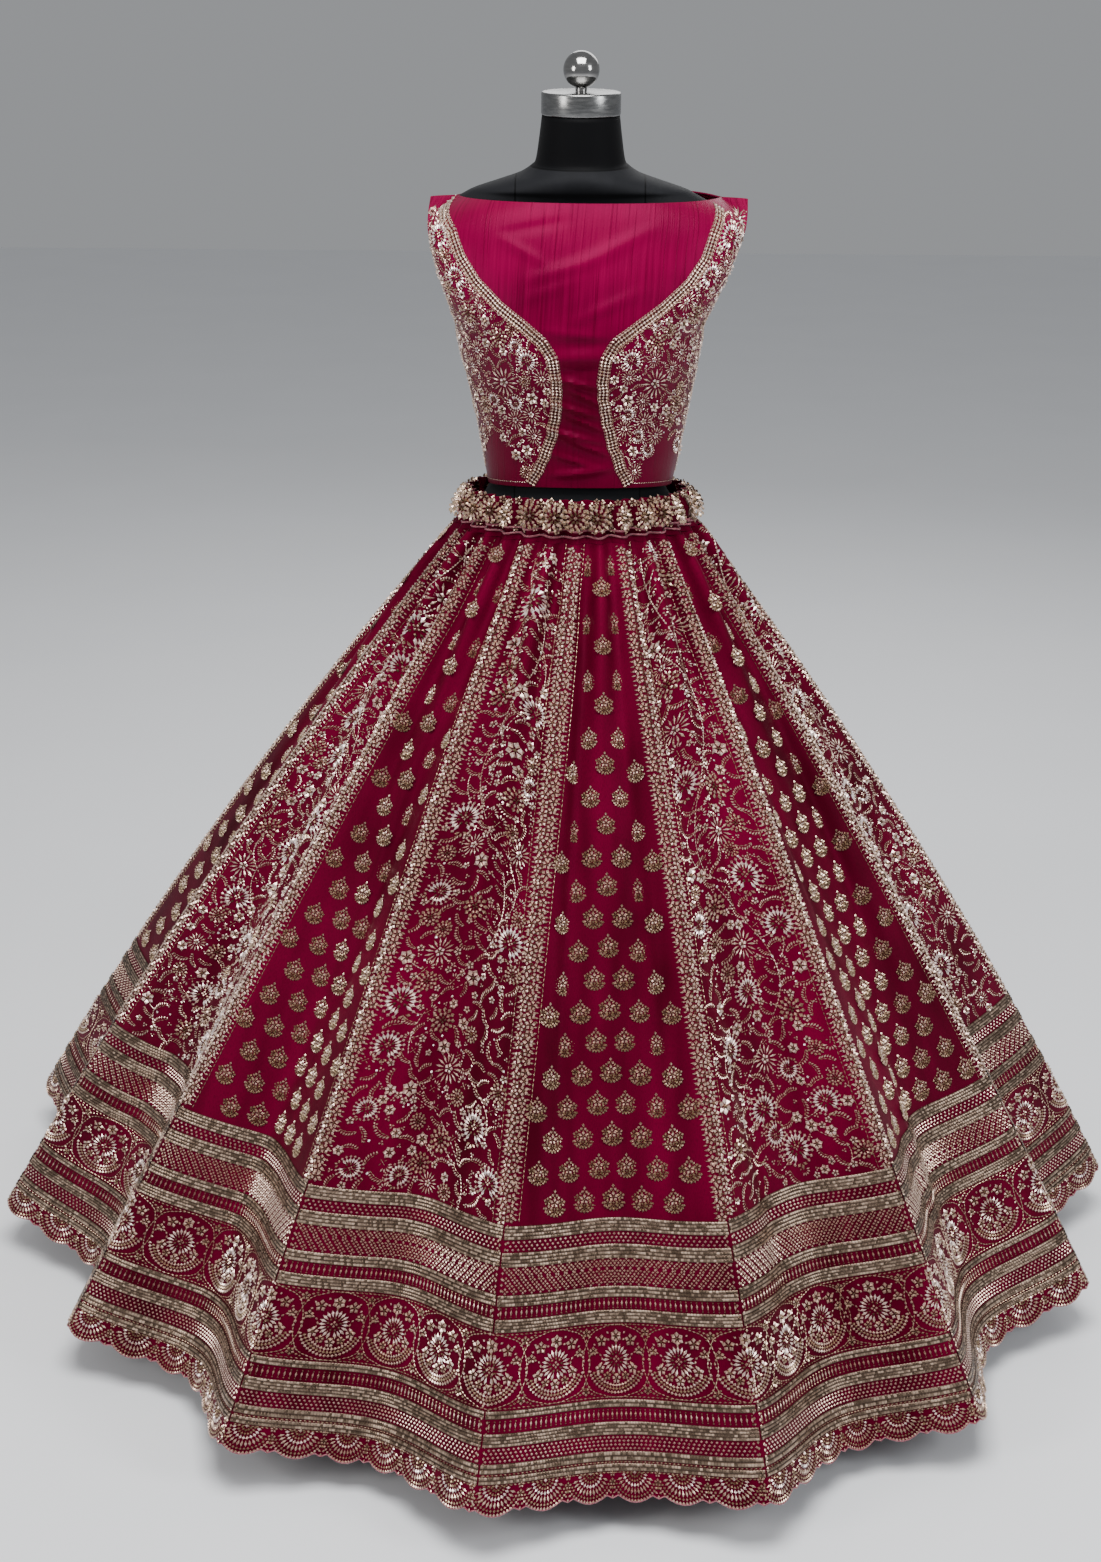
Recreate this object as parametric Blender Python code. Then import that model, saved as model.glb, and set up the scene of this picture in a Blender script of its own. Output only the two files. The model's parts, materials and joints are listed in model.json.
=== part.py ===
"""A lehenga choli on a limbless dress form: a flared skirt of fourteen gored panels, a sleeveless
bodice, and the form, pole and base that carry them. Metres, +Z up, the wearer faces -Y and the
origin is on the floor under the pole."""

import math

import bmesh
import bpy
import numpy as np
from mathutils import Vector
from mathutils.bvhtree import BVHTree

# Driving dimensions, in metres
WALL = 0.002  # cloth with its stiffening and embroidery backing
SEAM_GAP = 0.0003
HEM_Z = 0.070  # the hem at a seam
RIM_Z = 1.054  # the gathered rim at the sides and back
RIM_LIFT = 0.010  # the rim stands this much higher at the front
CORD_Z = 1.020  # the drawcord, where the skirt rests on the form
GATHERS_PER_PANEL = 2
SPANS_PER_GATHER = 4  # of the casing's rings
CORD_RADIUS = 0.0030  # of each satin cord
HEM_SCALLOP_DEPTH = 0.008
FLUTE_SHARPNESS = 1.3  # a flute's section is a sine to this power
FLUTE_SAG = 0.3  # the hem hangs lower by this share of the flute's depth
FLUTE_GROWTH = 1.25  # the flutes deepen with this power of the way down
GATHER_FADE = 0.36  # share of the length over which the gathers fade
BORDER_WIDTH = 0.013
POLE_RADIUS = 0.016
BASE_RADIUS = 0.165
BASE_HEIGHT = 0.014
CAP_RADIUS = 0.048
CAP_HEIGHT = 0.027
BALL_RADIUS = 0.022

# Each seam of the skirt from the left side round the front: its angle on the waist's ellipse and
# at the hem from the front, its hem radius, how far it bows outwards halfway down, and the depth
# of the flute in the panel after it.
SEAM_COLUMNS = ("waist_deg", "hem_deg", "hem_radius", "bow", "flute")
SEAMS = (
    (-71.0, -81.4, 0.783, 0.022, 0.095),
    (-47.0, -56.6, 0.754, 0.008, 0.085),
    (-23.5, -31.9, 0.763, 0.004, 0.080),
    (-0.5, -7.7, 0.769, 0.000, 0.062),
    (22.0, 17.2, 0.776, 0.000, 0.075),
    (45.0, 40.0, 0.762, 0.006, 0.085),
    (69.0, 66.8, 0.737, 0.016, 0.090),
    (94.0, 90.9, 0.752, 0.028, 0.090),
    (121.5, 116.0, 0.790, 0.022, 0.085),
    (149.0, 143.5, 0.765, 0.008, 0.080),
    (177.0, 170.0, 0.770, 0.006, 0.075),
    (205.0, 197.0, 0.775, 0.008, 0.080),
    (233.0, 225.0, 0.790, 0.014, 0.085),
    (261.0, 253.5, 0.826, 0.026, 0.085),
)
PANELS = len(SEAMS)
PANEL_COLUMNS = 8
HEM_COLUMNS = 6  # hem points for each column of a panel
PANEL_ROWS = (0.0, 0.05, 0.13, 0.26, 0.42, 0.60, 0.79, 0.965, 1.0)
# One scallop and the small one after it, as shares of the full depth
SCALLOP = (0.0, 0.5, 0.87, 1.0, 0.87, 0.5, 0.0, 0.4)

# The casing's profile: its height as a share of the way from the drawcord up to the rim, its
# clearance of the form, and its gathers' depth
CASING = (
    (1.00, 0.0170, 0.0100),
    (0.50, 0.0135, 0.0120),
    (0.00, 0.0004, 0.0110),
    (-0.30, 0.0040, 0.0100),
)
PIPING_SHARE = 0.03  # the piping's middle, as a share of the same way
PIPING_LIFT = 0.0005  # clear of the casing

# The form's sections: height, half width, and depth in front and behind
FORM_COLUMNS = ("z", "half_width", "front", "back")
FORM = (
    (0.800, 0.120, 0.080, 0.090),
    (0.806, 0.142, 0.098, 0.108),
    (0.830, 0.156, 0.108, 0.120),
    (0.880, 0.165, 0.113, 0.128),
    (0.940, 0.160, 0.110, 0.120),
    (0.985, 0.150, 0.105, 0.108),
    (1.020, 0.136, 0.098, 0.097),
    (1.062, 0.109, 0.087, 0.083),
    (1.095, 0.103, 0.085, 0.079),
    (1.125, 0.108, 0.089, 0.081),
    (1.170, 0.119, 0.097, 0.086),
    (1.220, 0.130, 0.110, 0.092),
    (1.268, 0.137, 0.116, 0.096),
    (1.310, 0.143, 0.111, 0.098),
    (1.350, 0.152, 0.099, 0.094),
    (1.382, 0.163, 0.082, 0.082),
    (1.398, 0.166, 0.074, 0.074),
    (1.407, 0.162, 0.054, 0.054),
    (1.419, 0.1415, 0.055, 0.051),
    (1.426, 0.127, 0.062, 0.057),
    (1.436, 0.096, 0.065, 0.060),
    (1.444, 0.073, 0.063, 0.058),
    (1.453, 0.059, 0.056, 0.054),
    (1.460, 0.054, 0.053, 0.052),
    (1.486, 0.050, 0.050, 0.050),
    (1.511, 0.047, 0.047, 0.047),
)
FORM_SIDES = 36
BUST_SPREAD = 0.070
BUST_Z = 1.268
BUST_RISE = 0.012
BUST_RADIUS = 0.052

# The bodice's rows: height at the side and at the centre, reach to the left and right, depth in
# front and behind, how far the armhole cuts in front of the side line, how much of the row's end
# lies on the side line, and how square the row is.
BODICE = (
    (1.062, 1.076, 0.113, 0.120, 0.094, 0.089, 0.000, 0.00, 0.85),
    (1.082, 1.093, 0.116, 0.124, 0.095, 0.090, 0.000, 0.00, 0.85),
    (1.103, 1.111, 0.119, 0.128, 0.098, 0.091, 0.000, 0.00, 0.85),
    (1.125, 1.131, 0.123, 0.132, 0.101, 0.092, 0.000, 0.00, 0.85),
    (1.148, 1.152, 0.127, 0.136, 0.106, 0.094, 0.000, 0.00, 0.85),
    (1.170, 1.173, 0.132, 0.140, 0.112, 0.097, 0.000, 0.00, 0.85),
    (1.193, 1.195, 0.137, 0.144, 0.118, 0.100, 0.000, 0.00, 0.85),
    (1.216, 1.218, 0.143, 0.148, 0.125, 0.102, 0.000, 0.00, 0.85),
    (1.240, 1.242, 0.149, 0.152, 0.130, 0.104, 0.000, 0.00, 0.85),
    (1.262, 1.264, 0.152, 0.154, 0.132, 0.106, 0.002, 0.00, 0.85),
    (1.284, 1.287, 0.157, 0.161, 0.131, 0.107, 0.026, 0.00, 0.85),
    (1.308, 1.311, 0.164, 0.171, 0.127, 0.107, 0.038, 0.00, 0.84),
    (1.334, 1.337, 0.173, 0.182, 0.120, 0.105, 0.041, 0.02, 0.82),
    (1.358, 1.362, 0.180, 0.192, 0.111, 0.101, 0.038, 0.06, 0.80),
    (1.380, 1.384, 0.184, 0.200, 0.102, 0.096, 0.031, 0.15, 0.76),
    (1.397, 1.402, 0.184, 0.203, 0.094, 0.090, 0.018, 0.34, 0.70),
    (1.4138, 1.4180, 0.182, 0.204, 0.086, 0.083, 0.000, 0.57, 0.66),
)
BODICE_SPANS = 18
BODICE_BUST_SHARE = 0.7  # the bodice rises this share of the form's bust
ARMHOLE_ROW = 9  # the row where the side seam ends

# The soft folds pulled across the bodice's middle: height, middle, half length, depth and slope
FOLDS = (
    (1.100, 0.004, 0.050, 0.0022, 0.10),
    (1.142, -0.006, 0.060, 0.0028, -0.12),
    (1.184, 0.008, 0.055, 0.0024, 0.16),
    (1.246, 0.000, 0.075, 0.0030, 0.05),
    (1.345, -0.020, 0.080, 0.0022, 0.30),
)
FOLD_WIDTH = 0.009

# The beaded border's middle line on each side of the front, as x and z
BORDER_COLUMNS = ("z", "left_x", "right_x")
BORDER = (
    (1.0790, -0.0585, 0.0640),
    (1.1000, -0.0470, 0.0530),
    (1.1250, -0.0375, 0.0440),
    (1.1550, -0.0300, 0.0365),
    (1.1850, -0.0265, 0.0315),
    (1.2150, -0.0265, 0.0295),
    (1.2420, -0.0310, 0.0330),
    (1.2620, -0.0440, 0.0450),
    (1.2820, -0.0680, 0.0720),
    (1.3020, -0.0960, 0.1010),
    (1.3280, -0.1230, 0.1310),
    (1.3560, -0.1420, 0.1510),
    (1.3840, -0.1530, 0.1605),
    (1.3960, -0.1565, 0.1640),
)
BORDER_STATIONS = 36
BORDER_LIFT = 0.0017  # clear of the front's facets
BORDER_FOOT = (-0.50, -0.17, 0.17, 0.50)  # where the underside has points
# The border's section: across its width, and height over the cloth
BORDER_SECTION = (
    (-0.50, 0.0010), (-0.34, 0.0024), (-0.17, 0.0013), (0.00, 0.0026), (0.17, 0.0013),
    (0.34, 0.0024), (0.50, 0.0010),
)


def clear_scene():
    for old in list(bpy.data.objects):
        bpy.data.objects.remove(old, do_unlink=True)


def material(name, colour, roughness, metallic=0.0):
    made = bpy.data.materials.new(name)
    made.use_nodes = True
    shader = made.node_tree.nodes["Principled BSDF"]
    shader.inputs["Base Color"].default_value = (*colour, 1.0)
    shader.inputs["Roughness"].default_value = roughness
    shader.inputs["Metallic"].default_value = metallic
    return made


def column(table, names, wanted):
    place = names.index(wanted)
    return np.array([row[place] for row in table])


def add_object(name, mesh_builder, finish, smooth_deg=50.0):
    """Closes a bmesh into a named object with its faces pointing out."""
    bmesh.ops.recalc_face_normals(mesh_builder, faces=mesh_builder.faces)
    mesh = bpy.data.meshes.new(name)
    mesh_builder.to_mesh(mesh)
    mesh_builder.free()
    mesh.shade_smooth()
    mesh.set_sharp_from_angle(angle=math.radians(smooth_deg))
    mesh.materials.append(finish)
    made = bpy.data.objects.new(name, mesh)
    bpy.context.scene.collection.objects.link(made)
    return made


def stack_of_rings(name, rings, finish, closed_ends=True, smooth_deg=50.0):
    """A solid through rings of equal length. With open ends the last ring joins the first."""
    builder = bmesh.new()
    loops = [[builder.verts.new(point) for point in ring] for ring in rings]
    pairs = list(zip(loops, loops[1:]))
    if not closed_ends:
        pairs.append((loops[-1], loops[0]))
    for lower, upper in pairs:
        count = len(lower)
        for i in range(count):
            j = (i + 1) % count
            builder.faces.new((lower[i], lower[j], upper[j], upper[i]))
    if closed_ends:
        builder.faces.new(reversed(loops[0]))
        builder.faces.new(loops[-1])
    return add_object(name, builder, finish, smooth_deg)


def turned(name, profile, finish, sides=32):
    """A round solid from radius and height pairs, listed from the bottom up."""
    rings = []
    for radius, z in profile:
        angles = [2 * math.pi * i / sides for i in range(sides)]
        rings.append([(radius * math.sin(a), -radius * math.cos(a), z) for a in angles])
    return stack_of_rings(name, rings, finish)


def wall_from_strips(name, outer, inner, finish, smooth_deg=50.0):
    """A cloth wall between two grids of rows. A row may hold a whole multiple of the points of
    the row before it, and is then joined to it by fans."""
    builder = bmesh.new()
    sides = []
    for grid in (outer, inner):
        rows = [[builder.verts.new(point) for point in row] for row in grid]
        for upper, lower in zip(rows, rows[1:]):
            step = (len(lower) - 1) // (len(upper) - 1)
            for i in range(len(upper) - 1):
                below = lower[i * step:(i + 1) * step + 1]
                half = step // 2
                if step == 1:
                    builder.faces.new((upper[i], upper[i + 1], below[1], below[0]))
                    continue
                for j in range(half):
                    builder.faces.new((upper[i], below[j + 1], below[j]))
                builder.faces.new((upper[i], upper[i + 1], below[half]))
                for j in range(half, step):
                    builder.faces.new((upper[i + 1], below[j + 1], below[j]))
        sides.append(rows)
    for edge in edges_round(sides[0], sides[1]):
        builder.faces.new(edge)
    return add_object(name, builder, finish, smooth_deg)


def edges_round(outer, inner):
    """The narrow faces along a wall's four edges."""
    rims = (
        (outer[0], inner[0]),
        (outer[-1], inner[-1]),
        ([row[0] for row in outer], [row[0] for row in inner]),
        ([row[-1] for row in outer], [row[-1] for row in inner]),
    )
    for out_line, in_line in rims:
        for i in range(len(out_line) - 1):
            yield out_line[i], out_line[i + 1], in_line[i + 1], in_line[i]


def form_size(z):
    """The form's half width and its front and back depth at a height."""
    heights = column(FORM, FORM_COLUMNS, "z")
    names = ("half_width", "front", "back")
    return [float(np.interp(z, heights, column(FORM, FORM_COLUMNS, name))) for name in names]


def bust(x, z):
    across = (abs(x) - BUST_SPREAD) / BUST_RADIUS
    up = (z - BUST_Z) / BUST_RADIUS
    return BUST_RISE * math.exp(-across * across - up * up)


def form_point(angle, z, clearance=0.0):
    """A point on the form's section, at an angle from the front towards +X."""
    half_width, front, back = form_size(z)
    x = (half_width + clearance) * math.sin(angle)
    facing = math.cos(angle)
    if facing > 0:
        depth = front + bust(x, z) * facing
    else:
        depth = back
    return Vector((x, -(depth + clearance) * facing, z))


def build_form(jersey, chrome, base_finish):
    angles = [2 * math.pi * i / FORM_SIDES for i in range(FORM_SIDES)]
    heights = column(FORM, FORM_COLUMNS, "z")
    rings = [[form_point(a, float(z)) for a in angles] for z in heights]
    stack_of_rings("form_torso", rings, jersey, smooth_deg=70.0)

    torso_top = float(heights[-1])
    torso_foot = float(heights[0])
    cap_foot = torso_top + SEAM_GAP
    cap_top = cap_foot + CAP_HEIGHT
    bevel = 0.0015
    cap = (
        (CAP_RADIUS - bevel, cap_foot),
        (CAP_RADIUS, cap_foot + bevel),
        (CAP_RADIUS, cap_top - bevel),
        (CAP_RADIUS - bevel, cap_top),
    )
    turned("form_neck_cap", cap, chrome)

    stem_radius = 0.007
    stem_height = 0.004
    ball_foot = cap_top + SEAM_GAP
    ball_middle = ball_foot + stem_height + BALL_RADIUS * math.cos(math.asin(stem_radius / BALL_RADIUS))
    lowest = -math.acos(stem_radius / BALL_RADIUS)
    levels = 10
    ball = [(stem_radius, ball_foot)]
    for i in range(levels):
        rise = lowest + (math.pi / 2 - lowest) * i / levels
        ball.append((BALL_RADIUS * math.cos(rise), ball_middle + BALL_RADIUS * math.sin(rise)))
    ball.append((BALL_RADIUS * 0.08, ball_middle + BALL_RADIUS * 0.998))
    turned("form_ball", ball, chrome, sides=24)

    pole = ((POLE_RADIUS, BASE_HEIGHT + SEAM_GAP), (POLE_RADIUS, torso_foot - SEAM_GAP))
    turned("form_pole", pole, chrome, sides=20)
    rounding = 0.003
    base = (
        (BASE_RADIUS - rounding, 0.0),
        (BASE_RADIUS, rounding),
        (BASE_RADIUS, BASE_HEIGHT - rounding),
        (BASE_RADIUS - rounding, BASE_HEIGHT),
    )
    turned("form_base", base, base_finish, sides=40)


def around(q, name):
    """A seam table's value at q, where whole numbers are seams, with angles kept rising."""
    values = column(SEAMS, SEAM_COLUMNS, name)
    turn = 360.0 if name.endswith("_deg") else 0.0
    whole = math.floor(q)
    here = values[whole % PANELS] + turn * (whole // PANELS)
    after = values[(whole + 1) % PANELS] + turn * ((whole + 1) // PANELS)
    return here + (after - here) * (q - whole)


def gather(q):
    """0 on the crest of a gather and 1 in its trough."""
    return 0.5 - 0.5 * math.cos(2 * math.pi * GATHERS_PER_PANEL * q)


def casing_point(q, row):
    """A point on the outside of the gathered casing."""
    share, clearance, depth = row
    angle = math.radians(around(q, "waist_deg"))
    rim = RIM_Z + RIM_LIFT * max(0.0, math.cos(angle))
    z = CORD_Z + share * (rim - CORD_Z) if share > 0 else CORD_Z + share * (RIM_Z - CORD_Z)
    out = clearance + WALL + depth * (1 - gather(q))
    return form_point(angle, z, out)


def build_waist(cloth, satin):
    count = PANELS * GATHERS_PER_PANEL * SPANS_PER_GATHER
    places = [PANELS * i / count for i in range(count)]
    outer = [[casing_point(q, row) for q in places] for row in CASING]
    inner = []
    for row in CASING:
        narrower = (row[0], row[1] - WALL, row[2])
        inner.append([casing_point(q, narrower) for q in places])
    stack_of_rings("skirt_waist_casing", outer + inner[::-1], cloth, closed_ends=False)

    # Two satin cords laid side by side over the drawcord's casing, their back bent into its valley
    valley = -PIPING_SHARE * (RIM_Z - CORD_Z) / CORD_RADIUS
    section = (
        (-1.75, 0.0), (-1.75, 0.6), (-1.0, 1.0), (0.0, 0.35), (1.0, 1.0), (1.75, 0.6), (1.75, 0.0),
        (valley, 0.0),
    )
    rings = []
    for along, rise in section:
        share = PIPING_SHARE + along * CORD_RADIUS / (RIM_Z - CORD_Z)
        ring = []
        for q in places:
            point = piping_seat(q, share)
            outward = Vector((point.x, point.y, 0)).normalized()
            ring.append(point + outward * (PIPING_LIFT + rise * CORD_RADIUS))
        rings.append(ring)
    stack_of_rings("skirt_waist_piping", rings, satin, closed_ends=False)


def piping_seat(q, share):
    """A point on the casing's outer facets at a share of the way up to the rim."""
    for upper, lower in zip(CASING, CASING[1:]):
        if share >= lower[0]:
            down = (share - upper[0]) / (lower[0] - upper[0])
            return casing_point(q, upper).lerp(casing_point(q, lower), down)
    return casing_point(q, CASING[-1])


def skirt_point(q, t):
    """A point on the outside of the skirt: q counts seams round the waist, t runs from waist to hem."""
    waist_angle = math.radians(around(q, "waist_deg"))
    top = casing_point(q, CASING[-1])
    top.z -= SEAM_GAP
    smooth_top = form_point(waist_angle, top.z, CASING[-1][1] + WALL + CASING[-1][2])
    fade = max(0.0, 1.0 - t / GATHER_FADE) ** 2
    start = smooth_top.lerp(top, fade)
    start.z = top.z
    hem_angle = math.radians(around(q, "hem_deg"))
    whole = math.floor(q)
    flute = SEAMS[whole % PANELS][SEAM_COLUMNS.index("flute")]
    recess = flute * math.sin(math.pi * (q - whole)) ** FLUTE_SHARPNESS
    radius = around(q, "hem_radius") - recess
    end = Vector((
        radius * math.sin(hem_angle),
        -radius * math.cos(hem_angle),
        HEM_Z - FLUTE_SAG * recess,
    ))
    point = start.lerp(end, t)
    outward = Vector((math.sin(hem_angle), -math.cos(hem_angle), 0.0))
    straight = recess * t
    wanted = recess * t ** FLUTE_GROWTH
    bow = around(q, "bow") * 4 * t * (1 - t)
    return point + outward * (straight - wanted + bow)


def skirt_normal(q, t):
    step = 0.004
    across = skirt_point(q + step, t) - skirt_point(q - step, t)
    down = skirt_point(q, min(1.0, t + step)) - skirt_point(q, max(0.0, t - step))
    normal = down.cross(across).normalized()
    if t == 0.0:
        normal.z = 0.0
        normal.normalize()
    return normal


def build_panel(index, cloth):
    """One gored panel, with its scalloped hem."""
    outer = []
    inner = []
    for t in PANEL_ROWS:
        columns = PANEL_COLUMNS * (HEM_COLUMNS if t == 1.0 else 1)
        out_row = []
        in_row = []
        for i in range(columns + 1):
            share = i / columns
            width = (skirt_point(index + 0.06, t) - skirt_point(index + 0.04, t)).length / 0.02
            keep_in = 0.5 * SEAM_GAP / width
            q = index + min(max(share, keep_in), 1 - keep_in)
            seam = index + round(share) if share in (0.0, 1.0) else q
            point = skirt_point(q, t)
            normal = skirt_normal(seam, t)
            if t == 1.0:
                above = skirt_point(q, PANEL_ROWS[-2])
                fall = (point - above).normalized()
                point += fall * HEM_SCALLOP_DEPTH * SCALLOP[i % len(SCALLOP)]
            out_row.append(point)
            in_row.append(point - normal * WALL)
        outer.append(out_row)
        inner.append(in_row)
    wall_from_strips(f"skirt_panel_{index + 1:02d}", outer, inner, cloth)


def folds(x, z):
    """How far the pulled folds lift the bodice's cloth."""
    lift = 0.0
    for fold_z, fold_x, reach, depth, slope in FOLDS:
        along = (x - fold_x) / reach
        if abs(along) < 1:
            up = (z - fold_z - slope * (x - fold_x)) / FOLD_WIDTH
            lift += depth * (1 - along * along) ** 2 * math.exp(-up * up)
    return lift


def bodice_point(row, s, side):
    """A point on the bodice's outside: s runs from -1 at the left edge to 1 at the right, and
    side is -1 for the front and 1 for the back."""
    z_side, z_centre, left, right, front, back, armhole, flat, power = row
    turn = math.pi / 2 * s
    x = (right - left) / 2 + (right + left) / 2 * math.sin(turn)
    facing = math.cos(turn)
    z = z_side + (z_centre - z_side) * facing
    rounded = (max(0.0, facing - flat) / (1 - flat)) ** power
    edge = max(armhole, SEAM_GAP / 2)
    depth = front if side < 0 else back
    reach = edge + (depth - edge) * rounded
    if side < 0:
        reach += (BODICE_BUST_SHARE * bust(x, z) + folds(x, z)) * rounded
    return Vector((x, side * reach, z))


def bodice_normal(rows, i, s, side):
    """The outward direction of the wall's thickness, level along the seams that join it."""
    step = 0.01
    left = bodice_point(rows[i], max(-1.0, s - step), side)
    right = bodice_point(rows[i], min(1.0, s + step), side)
    below = bodice_point(rows[max(0, i - 1)], s, side)
    above = bodice_point(rows[min(len(rows) - 1, i + 1)], s, side)
    point = bodice_point(rows[i], s, side)
    if abs(s) == 1.0 and i <= ARMHOLE_ROW:
        return Vector((s, 0, 0))
    if i == len(rows) - 1 and abs(point.y) <= SEAM_GAP:
        return Vector((0, 0, 1))
    return -side * (right - left).cross(above - below).normalized()


def build_bodice_side(name, side, cloth):
    outer = []
    inner = []
    for i, row in enumerate(BODICE):
        places = [2 * j / BODICE_SPANS - 1 for j in range(BODICE_SPANS + 1)]
        points = [bodice_point(row, s, side) for s in places]
        normals = [bodice_normal(BODICE, i, s, side) for s in places]
        outer.append(points)
        inner.append([p - n * WALL for p, n in zip(points, normals)])
    return wall_from_strips(name, outer, inner, cloth, smooth_deg=60.0)


def build_border(name, side_column, front, beadwork):
    """A raised beaded border laid on the front, made from its facets moved out."""
    tree = BVHTree.FromObject(front, bpy.context.evaluated_depsgraph_get())
    heights = column(BORDER, BORDER_COLUMNS, "z")
    reaches = column(BORDER, BORDER_COLUMNS, side_column)
    length = np.concatenate(([0.0], np.cumsum(np.hypot(np.diff(heights), np.diff(reaches)))))
    rings = []
    for i in range(BORDER_STATIONS + 1):
        at = length[-1] * i / BORDER_STATIONS
        x = float(np.interp(at, length, reaches))
        z = float(np.interp(at, length, heights))
        step = 0.004
        along = Vector((
            float(np.interp(at + step, length, reaches) - np.interp(at - step, length, reaches)),
            0.0,
            float(np.interp(at + step, length, heights) - np.interp(at - step, length, heights)),
        )).normalized()
        across = Vector((along.z, 0.0, -along.x))
        top = []
        foot = []
        for share, rise in BORDER_SECTION:
            aim = Vector((x, -1.0, z)) + across * share * BORDER_WIDTH
            hit, normal, _, _ = tree.ray_cast(aim, Vector((0, 1, 0)))
            if normal.y > 0:
                normal = -normal
            top.append(hit + normal * (BORDER_LIFT + rise))
            if share in BORDER_FOOT:
                foot.append(hit + normal * BORDER_LIFT)
        rings.append(top + foot[::-1])
    stack_of_rings(name, rings, beadwork, smooth_deg=40.0)


def main():
    clear_scene()
    silk = material("raw_silk", (0.42, 0.004, 0.075), 0.5)
    shot_silk = material("embroidered_silk", (0.36, 0.01, 0.06), 0.5)
    satin = material("satin_piping", (0.6, 0.12, 0.2), 0.35)
    beadwork = material("gold_beadwork", (0.62, 0.45, 0.3), 0.35, 0.6)
    jersey = material("black_jersey", (0.008, 0.008, 0.01), 0.8)
    chrome = material("chrome", (0.7, 0.7, 0.72), 0.12, 1.0)
    base_finish = material("black_base", (0.02, 0.02, 0.022), 0.4)

    build_form(jersey, chrome, base_finish)
    build_waist(shot_silk, satin)
    for index in range(PANELS):
        build_panel(index, shot_silk)
    front = build_bodice_side("choli_front", -1, silk)
    build_bodice_side("choli_back", 1, silk)
    bpy.context.view_layer.update()
    build_border("choli_border_left", "left_x", front, beadwork)
    build_border("choli_border_right", "right_x", front, beadwork)


main()
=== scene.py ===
"""A crimson lehenga choli on a black dress form: fourteen embroidered kalis on a gathered drawcord
waist, a raw silk choli with beaded borders, and the form and stand. Metres, in the row's frame."""

import json
import math

import bpy
import numpy as np
from mathutils import Matrix, Vector

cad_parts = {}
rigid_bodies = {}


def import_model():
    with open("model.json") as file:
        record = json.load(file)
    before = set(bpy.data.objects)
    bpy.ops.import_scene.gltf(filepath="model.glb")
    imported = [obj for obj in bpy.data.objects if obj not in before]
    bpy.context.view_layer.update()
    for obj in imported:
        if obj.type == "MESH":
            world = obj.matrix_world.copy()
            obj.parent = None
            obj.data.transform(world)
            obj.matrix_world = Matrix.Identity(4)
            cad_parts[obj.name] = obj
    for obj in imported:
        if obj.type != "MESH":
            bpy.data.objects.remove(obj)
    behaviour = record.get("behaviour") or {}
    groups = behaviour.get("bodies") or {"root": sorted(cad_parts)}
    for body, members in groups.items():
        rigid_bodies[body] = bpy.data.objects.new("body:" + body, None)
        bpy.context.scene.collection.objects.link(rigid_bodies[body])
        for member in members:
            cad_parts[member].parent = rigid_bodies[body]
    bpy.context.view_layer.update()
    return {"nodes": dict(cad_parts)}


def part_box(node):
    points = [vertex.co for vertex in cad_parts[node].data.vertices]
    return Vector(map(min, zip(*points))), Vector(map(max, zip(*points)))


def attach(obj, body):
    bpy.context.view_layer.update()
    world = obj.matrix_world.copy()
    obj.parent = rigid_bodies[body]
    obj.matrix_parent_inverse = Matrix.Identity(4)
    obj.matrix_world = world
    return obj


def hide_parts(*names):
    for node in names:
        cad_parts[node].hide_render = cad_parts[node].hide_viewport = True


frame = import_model()

# Sizes shared with the solids, whose walls are thicker than the cloth here
SOLID_WALL = 0.002
WALL = 0.0016
SEAM_GAP = 0.0003
HEM_Z = 0.070
RIM_Z = 1.054
RIM_LIFT = 0.010
CORD_Z = 1.020
GATHERS_PER_PANEL = 2
SCALLOP_DEPTH = 0.008
FLUTE_SHARPNESS = 1.3
FLUTE_SAG = 0.3
FLUTE_GROWTH = 1.25
GATHER_FADE = 0.36
CORD_RADIUS = 0.0030
PIPING_SHARE = 0.03

# Each seam: angle at the waist, angle at the hem, hem radius, bow halfway down, flute after it
SEAM_COLUMNS = ("waist_deg", "hem_deg", "hem_radius", "bow", "flute")
SEAMS = np.array((
    (-71.0, -81.4, 0.783, 0.022, 0.095),
    (-47.0, -56.6, 0.754, 0.008, 0.085),
    (-23.5, -31.9, 0.763, 0.004, 0.080),
    (-0.5, -7.7, 0.769, 0.000, 0.062),
    (22.0, 17.2, 0.776, 0.000, 0.075),
    (45.0, 40.0, 0.762, 0.006, 0.085),
    (69.0, 66.8, 0.737, 0.016, 0.090),
    (94.0, 90.9, 0.752, 0.028, 0.090),
    (121.5, 116.0, 0.790, 0.022, 0.085),
    (149.0, 143.5, 0.765, 0.008, 0.080),
    (177.0, 170.0, 0.770, 0.006, 0.075),
    (205.0, 197.0, 0.775, 0.008, 0.080),
    (233.0, 225.0, 0.790, 0.014, 0.085),
    (261.0, 253.5, 0.826, 0.026, 0.085),
))
PANELS = len(SEAMS)
SCALLOP = (0.0, 0.5, 0.87, 1.0, 0.87, 0.5, 0.0, 0.4)
HEM_POINTS = 48  # across a panel, eight to a scallop
PANEL_STEPS = 48  # down a panel

# The casing's profile: share of the way up to the rim, clearance of the form, gather depth
CASING = (
    (1.00, 0.0170, 0.0100),
    (0.50, 0.0135, 0.0120),
    (0.00, 0.0004, 0.0110),
    (-0.30, 0.0040, 0.0100),
)

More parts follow.
